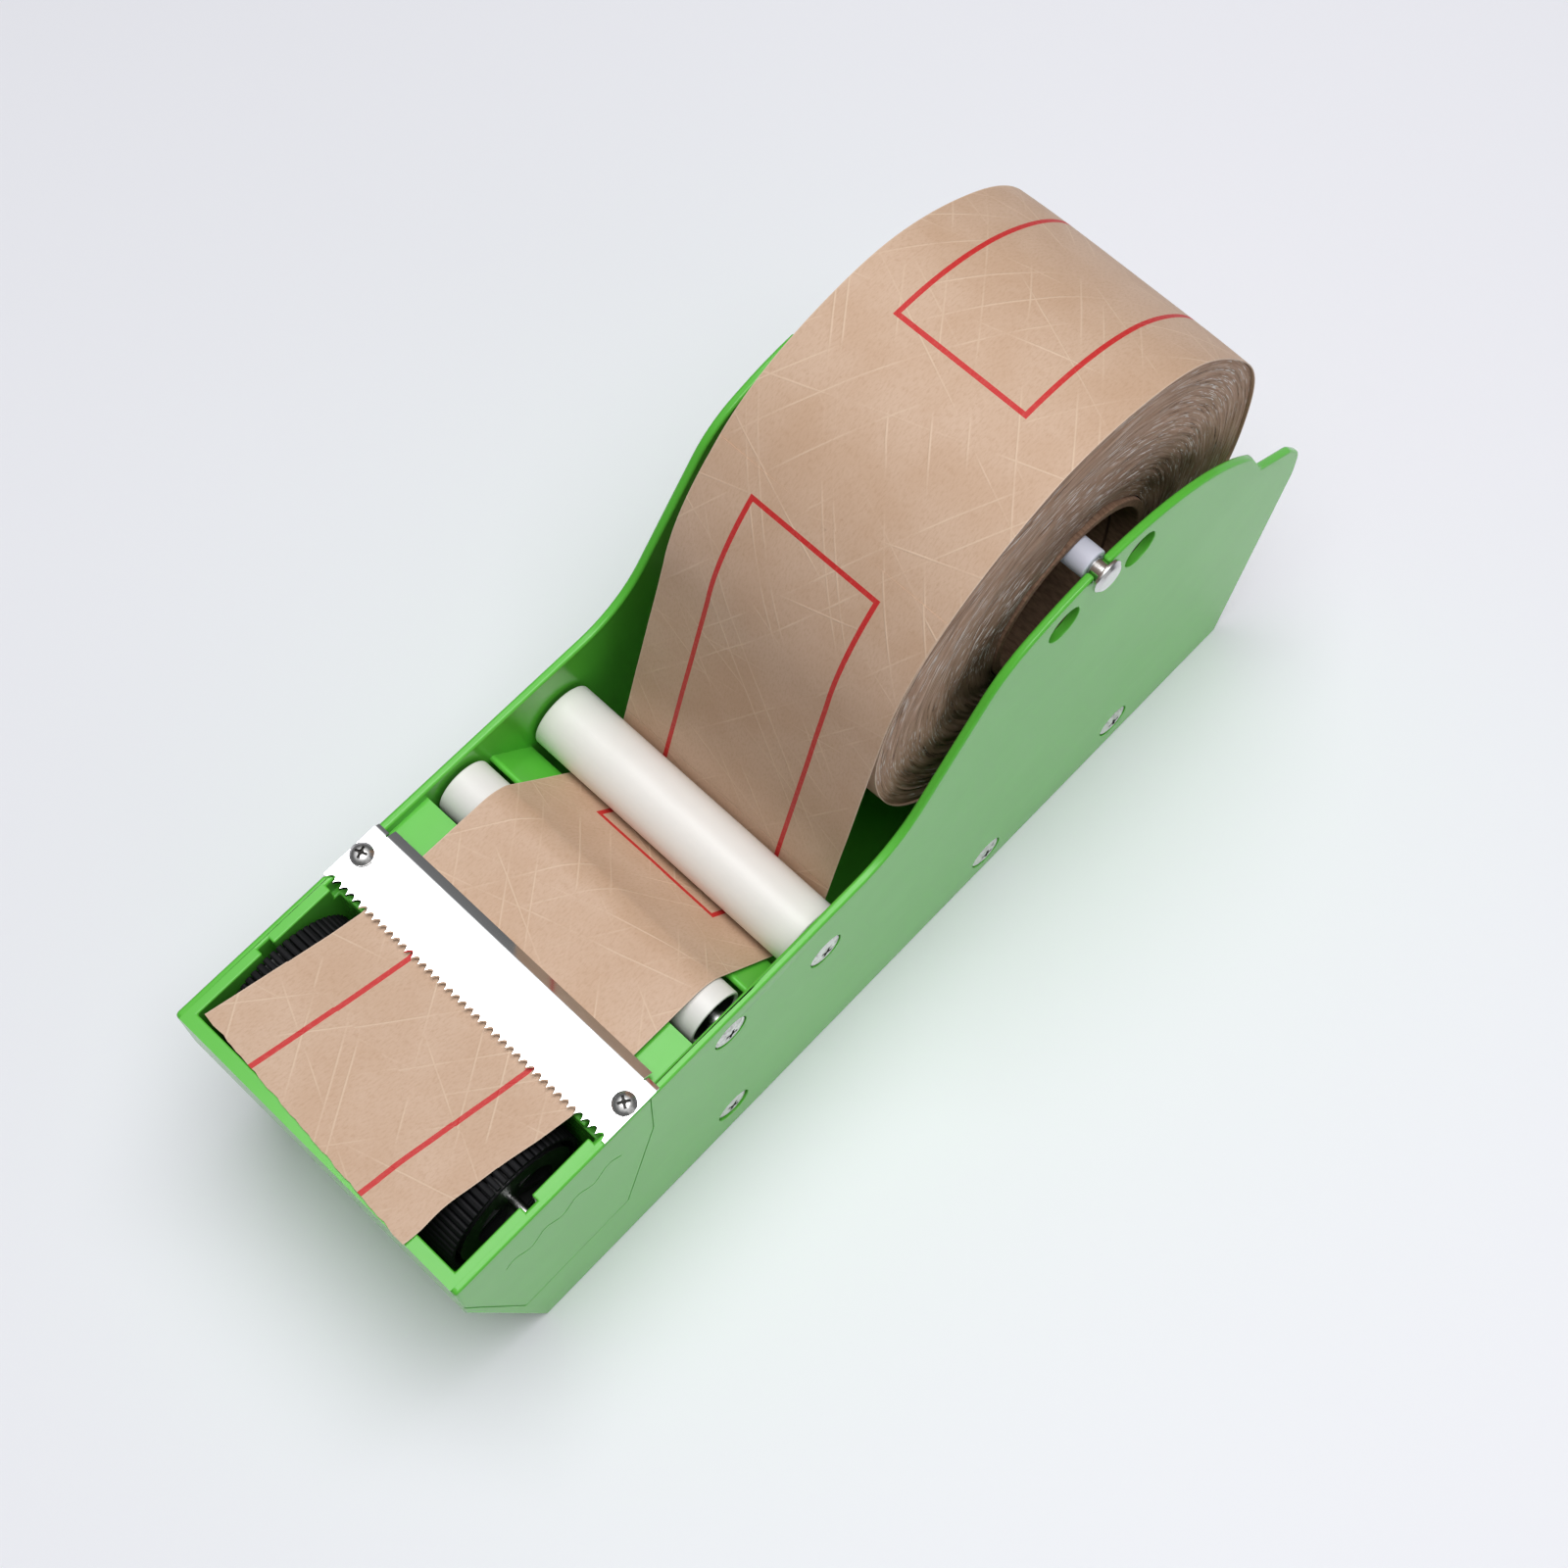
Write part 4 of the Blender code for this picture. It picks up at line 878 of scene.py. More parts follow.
WHEEL_RIBS = 60
RIB_HEIGHT = 0.9 * MM
RIB_WIDTH = 2.05 * MM
RIB_INSET = 0.6 * MM         # at both ends together
RING_WIDTH = 4.5 * MM
RING_EDGE, WHEEL_EDGE = 0.7 * MM, 0.5 * MM
RECESS_DEPTH = 5.0 * MM
HUB_RADIUS = 5.5 * MM
HUB_STEP = 2.5 * MM
SPOKES = 6
SPOKE_WIDTH = 3.0 * MM
SPOKE_CREST = 0.7                        # its width there, as a share
SPOKE_DEPTHS = (1.05, 0.45)              # root and crest, as shares of the recess's depth
SPOKE_IN_HUB, SPOKE_IN_RING = 0.8, 0.9
PIN_EDGE = 0.4 * MM
RIB_SIZES = ("Radius", "Rib Length", "Rib Width", "Rib Height")


def rib_tree():
    """Bars laid along a round body, one for each step round it."""
    tree, given = new_group("wheel_ribs", Int=("Ribs",), Float=RIB_SIZES, Vector=("Centre",),
                            Material=("Material",))
    radius, length, width, height = (given.part(name) for name in RIB_SIZES)
    circle = tree.node("GeometryNodeMeshCircle", {"Vertices": given.part("Ribs"),
                                                  "Radius": radius})
    bar = tree.node("GeometryNodeMeshCube", {"Size": tree.xyz(height * 2.0, width, length),
                                             "Vertices X": 3, "Vertices Y": 5, "Vertices Z": 4})
    at = tree.node("GeometryNodeInputPosition")
    x, y, z = tree.split(at)
    side, end = abs(y) / (width * 0.5), abs(z) / (length * 0.5)
    drop = (side ** 5.0 + (end > 0.9) * 0.5) * height * 0.45
    crown = tree.xyz(x - (x > 0.0) * drop, y, z)
    bar = tree.node("GeometryNodeSetPosition", {"Geometry": bar, "Position": crown})
    outward = tree.node("FunctionNodeAlignRotationToVector", {"Vector": at}, axis="X")
    ribs = tree.node("GeometryNodeInstanceOnPoints",
                     {"Points": circle, "Instance": bar, "Rotation": outward})
    ribs = tree.node("GeometryNodeRealizeInstances", {"Geometry": ribs})
    laid = tree.moved(ribs, given.part("Centre"), (0.0, math.pi / 2.0, 0.0))
    tree.node("NodeGroupOutput", {"Geometry": tree.coated(laid, given.part("Material"))})
    return tree.tree


def spoke(bm, wheel, hand, angle):
    """One rib of the wheel's end, from its hub to its ring."""
    c, s = math.cos(angle), math.sin(angle)
    face_x = wheel.centre.x + hand * wheel.half
    root, crest = (RECESS_DEPTH * share for share in SPOKE_DEPTHS)
    wide, narrow = SPOKE_WIDTH / 2, SPOKE_WIDTH / 2 * SPOKE_CREST
    prism(bm, [[(face_x - hand * depth, wheel.centre.y + (reach * c - half * s),
                 wheel.centre.z + (reach * s + half * c))
                for half, depth in ((-wide, root), (wide, root), (narrow, crest), (-narrow, crest))]
               for reach in (HUB_RADIUS * SPOKE_IN_HUB, wheel.radius - RING_WIDTH * SPOKE_IN_RING)])


def make_wheel():
    """A ribbed wheel with sunk, spoked ends, on its pin."""
    wheel = Span("wetting_wheel")
    body, ring = wheel.radius - RIB_HEIGHT, wheel.radius - RING_WIDTH
    floor = wheel.half - RECESS_DEPTH
    hub = floor + HUB_STEP
    side = rounded([(hub, 0.0, 0.0), (hub, HUB_RADIUS, WHEEL_EDGE), (floor, HUB_RADIUS, 0.0),
                    (floor, ring, 0.0), (wheel.half, ring, RING_EDGE),
                    (wheel.half, body, WHEEL_EDGE)])
    bm = bmesh.new()
    lathe(bm, mirrored(side) + list(reversed(side)), wheel.centre, 180)
    for hand in (-1, 1):
        for k in range(SPOKES):
            spoke(bm, wheel, hand, 2.0 * math.pi * (k + 0.25) / SPOKES)
    hand_over(evened("wheel_body", bm, "cap"), "wheel", "black", "wetting_wheel")

    centre = tuple(wheel.centre)
    ribs = grown("wheel_ribs", [centre], rib_tree(), {
        "Ribs": WHEEL_RIBS, "Radius": body, "Rib Length": 2 * wheel.half - RIB_INSET,
        "Rib Width": RIB_WIDTH, "Rib Height": RIB_HEIGHT, "Centre": centre,
        "Material": FINISHES["rubber"]})
    hand_over(ribs, "wheel", "black")

    pin = Span("wheel_shaft")
    shaft = tube(pin.half, 0.0, pin.radius, 0.0, PIN_EDGE)
    piece = turned_piece("wheel_pin", "steel", 48, [(shaft, pin.centre)])
    hand_over(piece, "wheel", "steel", "wheel_shaft")


# Cutter blade

BLADE_TEETH = 41
TOOTH_STEPS = 9
TOOTH_DEPTH = 1.9 * MM
TOOTH_LEAN = 0.10
END_LAND = 1.2 * MM
GRIND = 0.40 * MM        # how far the teeth's ground edge slopes back
LIP_INSET = 5.2 * MM
LIP_REACH = 3.6 * MM
EAR_END = 0.1 * MM
EAR_LENGTH = 1.2 * MM
SLIT = 0.5 * MM          # between the lip and the ears beside it
SHEET_GAUGE = 1.0 * MM
SHEET_EDGE = 0.10 * MM
FOLD_ROUND = 1.3 * MM
FOLD_STEPS = 5
TOUCH = 0.01 * MM


def tooth_edge(start, pitch, tips):
    """Points along one tooth space: a pointed tip, then a rounded gullet that leans over."""
    points = []
    for k in range(TOOTH_STEPS):
        share = k / TOOTH_STEPS
        swell = math.sin(math.pi * share)
        points.append((start + (share + TOOTH_LEAN * swell) * pitch,
                       tips + TOOTH_DEPTH * max(0.0, swell) ** 0.75))
    return points


def fold_down(bm, right, left, slope, length):
    """Bend a strip down behind an edge of the sheet."""
    y, z = right.co.y, right.co.z
    for k in range(1, FOLD_STEPS + 2):
        bending = k <= FOLD_STEPS
        turn = slope * (k - 0.5) / FOLD_STEPS if bending else slope
        step = FOLD_ROUND * slope / FOLD_STEPS if bending else length
        y, z = y + step * math.cos(turn), z - step * math.sin(turn)
        new_right = bm.verts.new((right.co.x, y, z))
        new_left = bm.verts.new((left.co.x, y, z))
        bm.faces.new((right, left, new_left, new_right))
        right, left = new_right, new_left


def make_blade():
    """A polished sheet with a toothed front edge and a rear edge folded down."""
    low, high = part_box("cutter_blade")
    tips, top, half = low.y, high.z, high.x - MIDPLANE
    lip_half, fold = half - LIP_INSET, high.y - LIP_REACH
    pitch = (2 * half - 2 * END_LAND) / BLADE_TEETH
    outline = [(-half, tips)]
    for k in range(BLADE_TEETH):
        outline += tooth_edge(-half + END_LAND + k * pitch, pitch, tips)
    outline += [(half - END_LAND, tips), (half, tips)]
    bm = bmesh.new()
    front = [bm.verts.new((MIDPLANE + x, y, top)) for x, y in outline]
    places = (half, half - EAR_END, lip_half + SLIT, lip_half)
    rear = [bm.verts.new((MIDPLANE + x, fold, top))
            for x in places + tuple(-x for x in reversed(places))]
    bm.faces.new(front + rear)
    slope = math.atan2(top - low.z - SHEET_GAUGE, high.y - fold)
    long_lip = (LIP_REACH - FOLD_ROUND * slope) / math.cos(slope)
    for right, length in ((3, long_lip), (1, EAR_LENGTH), (5, EAR_LENGTH)):
        fold_down(bm, rear[right], rear[right + 1], slope, length)
    bmesh.ops.recalc_face_normals(bm, faces=bm.faces)
    if sum(face.normal.z for face in bm.faces) < 0.0:
        bmesh.ops.reverse_faces(bm, faces=bm.faces)
    piece = new_piece("serrated_blade", plain_mesh("serrated_blade", bm), "blade", 25.0)
    modify(piece, "SOLIDIFY", thickness=SHEET_GAUGE, offset=-1.0, use_even_offset=True)
    applied(piece)
    for vert in piece.data.vertices:
        if vert.co.z > top - TOUCH and vert.co.y < tips + TOOTH_DEPTH + TOUCH:
            vert.co.y += GRIND
    modify(piece, "BEVEL", width=SHEET_EDGE, segments=2, limit_method="ANGLE",
           angle_limit=math.radians(40.0), harden_normals=True)
    hand_over(applied(piece), "body", "mirror_steel", "cutter_blade")


# Spindle

ROD_INSET = 1.3 * MM     # of the rod's left end from the left face
NECK = 3.0 * MM
HEAD_LENGTH = 2.2 * MM
HEAD_LAND = 1.0 * MM
HEAD_CROWN = 1.3 * MM
KEEPER_THICK = 1.0 * MM
KEEPER_RADIUS = 5.0 * MM
FINE_EDGE = 0.2 * MM
HEAD_EDGE, HEAD_TIP_EDGE = 0.4 * MM, 1.2 * MM
SLEEVE_INNER_EDGE, SLEEVE_EDGE = 0.3 * MM, 0.6 * MM


def make_spindle():
    """A shaft with a button head at its right end and a keeper ring at its left."""
    shaft = Span("spindle_shaft")
    end, keeper = LEFT_FACE + ROD_INSET, LEFT_FACE + PANEL_THICK + SEAT
    tip = shaft.high.x
    inner = tip - HEAD_LENGTH
    outline = rounded([(end, 0.0, 0.0), (end, NECK, ROD_EDGE),
                       (keeper, NECK, 0.0), (keeper, KEEPER_RADIUS, FINE_EDGE),
                       (keeper + KEEPER_THICK, KEEPER_RADIUS, FINE_EDGE),
                       (keeper + KEEPER_THICK, NECK, 0.0),
                       (inner, NECK, 0.0), (inner, shaft.radius, FINE_EDGE),
                       (inner + HEAD_LAND, shaft.radius, HEAD_EDGE),
                       (tip, shaft.radius - HEAD_CROWN, HEAD_TIP_EDGE), (tip, 0.0, 0.0)], 7)
    piece = turned_piece("spindle_rod", "steel", 96,
                         [(outline, (0.0, shaft.centre.y, shaft.centre.z))])
    hand_over(piece, "spindle", "steel", "spindle_shaft")

    sleeve = Span("spindle_sleeve")
    shell = tube(sleeve.half, NECK + SEAT, sleeve.radius, SLEEVE_INNER_EDGE, SLEEVE_EDGE)
    piece = turned_piece("spindle_tube", "sleeve", 96, [(shell, sleeve.centre)])
    hand_over(piece, "sleeve", "white", "spindle_sleeve")


# Tape

STRIP_HALF = 45.0 * MM
WOUND_HALF = 43.0 * MM   # of the tape on the roll and behind the guide
ROLL_MIDDLE_X = MIDPLANE + 6.5 * MM
GUIDE_MIDDLE_X = MIDPLANE + 3.5 * MM
DECK_MIDDLE_X = MIDPLANE + 2.0 * MM
BLADE_MIDDLE_X = MIDPLANE + 1.6 * MM
FREE_MIDDLE_X = MIDPLANE - 7.8 * MM
HUMP_RISE = 2.3 * MM     # the tape's slack bow over the front roller
HUMP_REACH = 18.0 * MM
HUMP_SPREAD = 8.0 * MM
HUMP_STEP, HUMP_STEPS = 0.5 * MM, 60
CUT_SKEW = 6.3 * MM
RIM_ROUND = 2.3 * MM
LEAD_HUG_DEG = 34.0
PARTING_CLEARANCE = 2.0 * MM
ROW_STEP = 1.1 * MM
COLUMNS = 44
SLOPE_REACH = 0.8 * MM   # to each side, for the tape's direction
# waves in the paper: size, waves along and across, share of the phase
RIPPLES = ((1.0, 95.0, 40.0, 1.0), (0.6, 210.0, -130.0, 2.1), (0.4, 60.0, 260.0, 0.7))
# how far from the free end its shapes fade out
SKEW_FADE, CUT_FADE, WET_FADE, EDGE_FADE = 35.0 * MM, 3.0 * MM, 45.0 * MM, 50.0 * MM
SAW_STEP, SAW_SIZE, ROUGH_SIZE, CUT_BACK = 2.8 * MM, 0.35 * MM, 0.25 * MM, 0.3 * MM
CRUMPLE_ACROSS, CRUMPLE_ALONG = (30.0 * MM, 13.0 * MM), (9.0 * MM, 10.0 * MM)  # middle, size
CRUMPLE_HEIGHT = 0.20 * MM
CORNER_HEIGHT, CORNER_FADE = 0.9 * MM, 9.0 * MM
CORNER_START, CORNER_WIDTH = 33.0 * MM, 12.0 * MM
EDGE_WAVE, EDGE_WAVE_STEP, EDGE_FLARE = 0.4 * MM, 23.0 * MM, 1.8 * MM
LEFT_BOW, RIGHT_BOW = 0.6 * MM, 0.7 * MM
CALM, WET = 0.05 * MM, 0.10 * MM       # sizes of the ripples


def held(value):
    """A value kept between 0 and 1."""
    return np.clip(value, 0.0, 1.0)


def tangent(first, second):
    """The straight run of the tape from one round piece to the next, as two points.

    A round piece is (y, z, radius, turn). The tape runs over pieces with turn 1 and under
    pieces with turn -1 on its way to the front.
    """
    y1, z1, r1, s1 = first
    y2, z2, r2, s2 = second
    dy, dz = y2 - y1, z2 - z1
    angle = math.atan2(dz, dy) - math.acos((s1 * r1 - s2 * r2) / math.hypot(dy, dz))
    ny, nz = math.cos(angle), math.sin(angle)
    return (y1 + s1 * r1 * ny, z1 + s1 * r1 * nz), (y2 + s2 * r2 * ny, z2 + s2 * r2 * nz)


def round_pieces():
    """What the tape's middle runs round, from the roll to the front rim."""
    over = SEAT + TAPE_GAUGE / 2
    front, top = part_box("side_panel_right")[0].y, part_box("water_tank")[1].z
    pieces = {"rim": (front + RIM_ROUND, top - RIM_ROUND, RIM_ROUND + over, 1)}
    for name, node, gap, turn in (("roll", "tape_roll", 0.0, 1),
                                  ("rear", "rear_roller", RUN_GAP, -1),
                                  ("front", "front_roller", 0.0, 1),
                                  ("wheel", "wetting_wheel", 0.0, 1)):
        span = Span(node)
        pieces[name] = (span.centre.y, span.centre.z, span.radius + (gap + over), turn)
    return pieces


def tape_route():
    """The tape's middle from its free end back to the roll.

    Gives its points, the distance of each from the free end, and the distances of the
    blade's teeth and of the ends of its stretches.
    """
    pieces = round_pieces()
    off_roll, on_rear = tangent(pieces["roll"], pieces["rear"])
    off_rear, on_front = tangent(pieces["rear"], pieces["front"])
    off_front, on_wheel = tangent(pieces["front"], pieces["wheel"])
    off_wheel, on_rim = tangent(pieces["wheel"], pieces["rim"])
    y, z, radius, _ = pieces["roll"]
    angle = math.atan2(off_roll[1] - z, off_roll[0] - y) - math.radians(LEAD_HUG_DEG)
    hug = (y + radius * math.cos(angle), z + radius * math.sin(angle))
    points = [(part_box("tape_strip")[0].y, on_rim[1]), on_rim]
    for name, start, end in (("wheel", off_wheel, on_wheel), ("front", off_front, on_front),
                             ("rear", off_rear, on_rear), ("roll", off_roll, hug)):
        points += arc(pieces[name][:2], pieces[name][2], start, end, None)
    points = np.array(points)
    steps = np.hypot(*np.diff(points, axis=0).T)
    points = points[np.concatenate([[True], steps > 1e-9])]
    reach = np.concatenate([[0.0], np.cumsum(np.hypot(*np.diff(points, axis=0).T))])

    def distance_of(place):
        return float(reach[np.argmin(np.hypot(points[:, 0] - place[0], points[:, 1] - place[1]))])

    parting_y = pieces["rear"][0] + Span("rear_roller").radius + RUN_GAP + PARTING_CLEARANCE
    share = (parting_y - on_rear[0]) / (off_roll[0] - on_rear[0])
    run = math.hypot(off_roll[0] - on_rear[0], off_roll[1] - on_rear[1])
    flat = points[:, 0] <= off_front[0]
    teeth = float(np.interp(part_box("cutter_blade")[0].y, points[flat, 0], reach[flat]))
    marks = {"teeth": teeth, "front": distance_of(on_front), "guide": distance_of(on_rear),
             "parting": distance_of(on_rear) + run * share, "roll": distance_of(off_roll),
             "end": float(reach[-1])}
    crest = (distance_of(off_front) + distance_of(on_front)) / 2
    return bowed(points, reach, crest), reach, marks


def bowed(points, reach, crest):
    """The tape's middle with a slack bow over the front roller, in place of a tight bend."""
    even = np.arange(0.0, reach[-1], HUMP_STEP)
    kernel = np.arange(-HUMP_STEPS, HUMP_STEPS + 1) * HUMP_STEP / HUMP_SPREAD
    kernel = np.exp(-0.5 * kernel ** 2)
    kernel = kernel / kernel.sum()
    near = np.exp(-((reach - crest) / HUMP_REACH) ** 2)
    shaped = points.copy()
    for axis, rise in ((0, 0.0), (1, HUMP_RISE)):
        line = np.pad(np.interp(even, reach, points[:, axis]), HUMP_STEPS, mode="edge")
        soft = np.interp(reach, even, np.convolve(line, kernel, mode="valid"))
        shaped[:, axis] += held(near * 1.8) * (soft - points[:, axis]) + rise * near
    return shaped


def ripple(across, along, phase, size):
    """A gentle unevenness of paper."""
    return size * sum(share * np.sin(along * ahead + across * aside + phase * shift)
                      for share, ahead, aside, shift in RIPPLES)


def closed_mesh(name, points, faces, uv, look, sharp_deg):
    """A closed piece whose faces point outwards, with any UV map given for each corner."""
    mesh = bpy.data.meshes.new(name)
    mesh.from_pydata(points.reshape(-1, 3).tolist(), [], faces.tolist())
    mesh.update()
    if uv is not None:
        mesh.uv_layers.new(name="UVMap").data.foreach_set("uv", uv.ravel())
    bm = bmesh.new()
    bm.from_mesh(mesh)
    if bm.calc_volume(signed=True) < 0.0:
        bmesh.ops.reverse_faces(bm, faces=bm.faces)
    bm.to_mesh(mesh)
    bm.free()
    return new_piece(name, mesh, look, sharp_deg)


def tape_sheet(name, place, out, lift, uv):
    """A closed thin sheet round a grid of places, with its UV map in metres."""
    middle = place + out * lift[..., None]
    rows, cols = uv.shape[:2]
    index = np.arange(rows * cols).reshape(rows, cols)
    under = index + rows * cols
    upper = np.stack([index[:-1, :-1], index[1:, :-1], index[1:, 1:], index[:-1, 1:]], -1)
    lower = np.stack([under[:-1, :-1], under[:-1, 1:], under[1:, 1:], under[1:, :-1]], -1)
    border = np.concatenate([index[0, :], index[1:, -1], index[-1, -2::-1], index[-2:0:-1, 0]])
    after = np.roll(border, -1)
    walls = np.stack([border, after, after + rows * cols, border + rows * cols], -1)
    faces = np.concatenate([upper.reshape(-1, 4), lower.reshape(-1, 4), walls])
    points = np.stack([middle + out * PAPER / 2, middle - out * PAPER / 2])
    corners = np.concatenate([uv.reshape(-1, 2)] * 2)[faces]
    return closed_mesh(name, points, faces, corners, "kraft", 50.0)


def tape_grid(start, end, route, shape):
    """Places on the tape's middle between two distances, with their outward directions."""
    points, reach, marks = route
    rows = max(2, int((end - start) / ROW_STEP))
    along, across = np.meshgrid(np.linspace(start, end, rows),
                                np.linspace(-STRIP_HALF, STRIP_HALF, COLUMNS), indexing="ij")
    along = shape(across, along)

    def at(axis, places):
        return np.interp(places, reach, points[:, axis])

    y, z = at(0, along), at(1, along)
    ahead_y = at(0, along + SLOPE_REACH) - at(0, along - SLOPE_REACH)
    ahead_z = at(1, along + SLOPE_REACH) - at(1, along - SLOPE_REACH)
    length = np.hypot(ahead_y, ahead_z)
    middle_x = np.interp(along, [0.0] + [marks[m] for m in ("teeth", "front", "guide", "roll")],
                         [FREE_MIDDLE_X, BLADE_MIDDLE_X, DECK_MIDDLE_X, GUIDE_MIDDLE_X,
                          ROLL_MIDDLE_X])
    narrow = np.interp(along, [marks["front"], marks["roll"]], [1.0, WOUND_HALF / STRIP_HALF])
    x = middle_x + across * narrow
    return (np.stack([x, y, z], -1),
            np.stack([np.zeros_like(x), -ahead_z / length, ahead_y / length], -1),
            np.stack([across, along], -1))


def near_end(along, reach):
    """1 at the free end, and 0 from a distance of reach on."""
    return held(1.0 - along / reach)


def torn_end(across, along):
    """Shorten the left side of the free end, and leave its cut edge uneven."""
    skew = CUT_SKEW * (STRIP_HALF - across) / (2.0 * STRIP_HALF)
    saw = SAW_SIZE * np.abs(((across / SAW_STEP) % 1.0) * 2.0 - 1.0)
    rough = ROUGH_SIZE * np.sin(across * 900.0) * np.sin(across * 370.0)
    return (along + skew * near_end(along, SKEW_FADE)
            + (saw + rough + CUT_BACK) * near_end(along, CUT_FADE))


def crumple(across, along):
    """Small folds where the free corner has been wet and dried."""
    near = np.exp(-((across - CRUMPLE_ACROSS[0]) / CRUMPLE_ACROSS[1]) ** 2
                  - ((along - CRUMPLE_ALONG[0]) / CRUMPLE_ALONG[1]) ** 2)
    folds = (np.abs(np.sin(across * 520.0 + along * 260.0))
             + np.abs(np.sin(along * 610.0 - across * 330.0 + 1.0)))
    return CRUMPLE_HEIGHT * near * (folds - 0.6)


def free_edges(across, along):
    """Sideways shifts of the free end: the left edge bows out, the right edge waves."""
    free = near_end(along, EDGE_FADE)
    left, right = held(-across / STRIP_HALF) ** 2, held(across / STRIP_HALF) ** 2
    bow = np.sin(np.pi * free)
    wave = EDGE_WAVE * np.sin(2.0 * np.pi * along / EDGE_WAVE_STEP) * free
    flare = EDGE_FLARE * free ** 3
    return (-LEFT_BOW * bow - flare) * left + (-RIGHT_BOW * bow + wave + flare) * right


def make_tape(route):
    """The threaded strip, and the lead that hangs from the roll behind the parting."""
    marks = route[2]
    gap = SEAT / 2
    place, out, uv = tape_grid(0.0, marks["parting"] - gap, route, torn_end)
    across, along = uv[..., 0], uv[..., 1]
    corner = near_end(along, CORNER_FADE) * held((across - CORNER_START) / CORNER_WIDTH)
    lift = (ripple(across, along, 0.4, CALM)
            + ripple(across, along, 2.0, WET) * near_end(along, WET_FADE)
            + CORNER_HEIGHT * corner ** 2 + crumple(across, along))
    place[..., 0] += free_edges(across, along)
    strip = tape_sheet("threaded_tape", place, out, lift, uv)
    hand_over(strip, "body", "kraft", "tape_strip")

    place, out, uv = tape_grid(marks["parting"] + gap, marks["end"], route,
                               lambda across, along: along)
    across, along = uv[..., 0], uv[..., 1]
    hug = held((along - marks["roll"]) / (marks["end"] - marks["roll"]))
    hug = hug * hug * (3.0 - 2.0 * hug)
    sink = (SEAT + TAPE_GAUGE / 2 + PAPER / 2 + 0.10 * MM) * hug
    lift = ripple(across, along, 0.4, CALM) * (1.0 - hug) - sink
    lead = tape_sheet("tape_from_roll", place, out, lift, uv)
    hand_over(lead, "spindle", "kraft", "tape_lead")


# Roll

LAYERS = 58
LAYER_JITTER = 0.25          # of the layers' edges, as a share of one layer
LAYER_ROOT, LAYER_CREST = 0.15, 0.80
LAYER_STAND, LAYER_DROP = (0.15, 0.45), (0.03, 0.16)   # in mm
FACE_SINK = 0.95 * MM        # keeps the layers that stand out within the roll's width
DRIFT = 0.315 * MM           # of the layers away from their own radius
RIM_SWAY = 0.15              # the share of the sway that the outermost layers keep
# how the sides sway: size, waves round the roll, twist from its core to its outside
SWAYS = ((0.45 * MM, 2.0, 9.0), (0.30 * MM, 5.0, -14.0), (0.18 * MM, 11.0, 30.0))
FACETS = 240
WRAP = 0.35 * MM             # the outermost layer
WRAP_COLUMNS = 24
WRAP_SWAY = 0.25 * MM
EDGE_LIFT, FLAT_DEPTH, LEAST_DEPTH = 0.35 * MM, 0.45 * MM, 0.1 * MM
WRAP_START = 0.18            # of a turn, from where the tape leaves the roll
CORE_BORE = 30.7 * MM
CORE_INNER_EDGE, CORE_EDGE = 0.5 * MM, 0.4 * MM


def ring_grid(name, look, rows, uv_along=None):
    """A closed ring mesh from rows of points, each row going once round."""
    grid = np.array(rows)
    count = len(rows)
    index = np.arange(count * FACETS).reshape(count, FACETS)
    after = np.roll(index, -1, axis=1)
    faces = np.stack([index, after, np.roll(after, -1, axis=0), np.roll(index, -1, axis=0)], -1)
    uv = None
    if uv_along:
        across, along = uv_along
        edges = np.append(along, along[-1] + (along[-1] - along[-2]))
        row, col = np.indices((count, FACETS)).reshape(2, -1)
        here, there = across[row], across[(row + 1) % count]
        uv = np.stack([np.stack([here, here, there, there], -1),
                       np.stack([edges[col], edges[col + 1], edges[col + 1], edges[col]], -1)], -1)
    return closed_mesh(name, grid, faces.reshape(-1, 4), uv, look, 60.0)


def ring_row(x, reach, turn, centre):
    """A row of points round the roll's axis."""
    return np.stack([np.broadcast_to(x, turn.shape), centre.y + reach * np.cos(turn),
                     centre.z + reach * np.sin(turn)], -1)


def unevenness(turn, across):
    """How far the outermost layer lies under the roll's full size: flats and a lifted edge."""
    edge = held(np.abs(across) / STRIP_HALF) ** 3
    flats = held(np.sin(5.0 * turn + 0.9 + 14.0 * across) * np.sin(3.0 * turn + 2.0))
    lifted = EDGE_LIFT * edge * (1.0 + np.sin(9.0 * turn + 50.0 * across))
    return FLAT_DEPTH * flats + lifted + LEAST_DEPTH


def layer_places(rng, inner, outer):
    """Radii of the layers' roots and crests, and how far each stands out."""
    jitter = LAYER_JITTER * rng.uniform(-1, 1, LAYERS + 1)
    edges = inner + (outer - inner) * (np.arange(LAYERS + 1) + jitter) / LAYERS
    edges[0], edges[-1] = inner, outer
    places = []
    for here, width in zip(edges, np.diff(edges)):
        stand = rng.uniform(*LAYER_STAND) * MM
        places += [(here + width * LAYER_ROOT, stand),
                   (here + width * LAYER_CREST, stand - rng.uniform(*LAYER_DROP) * MM)]
    return places


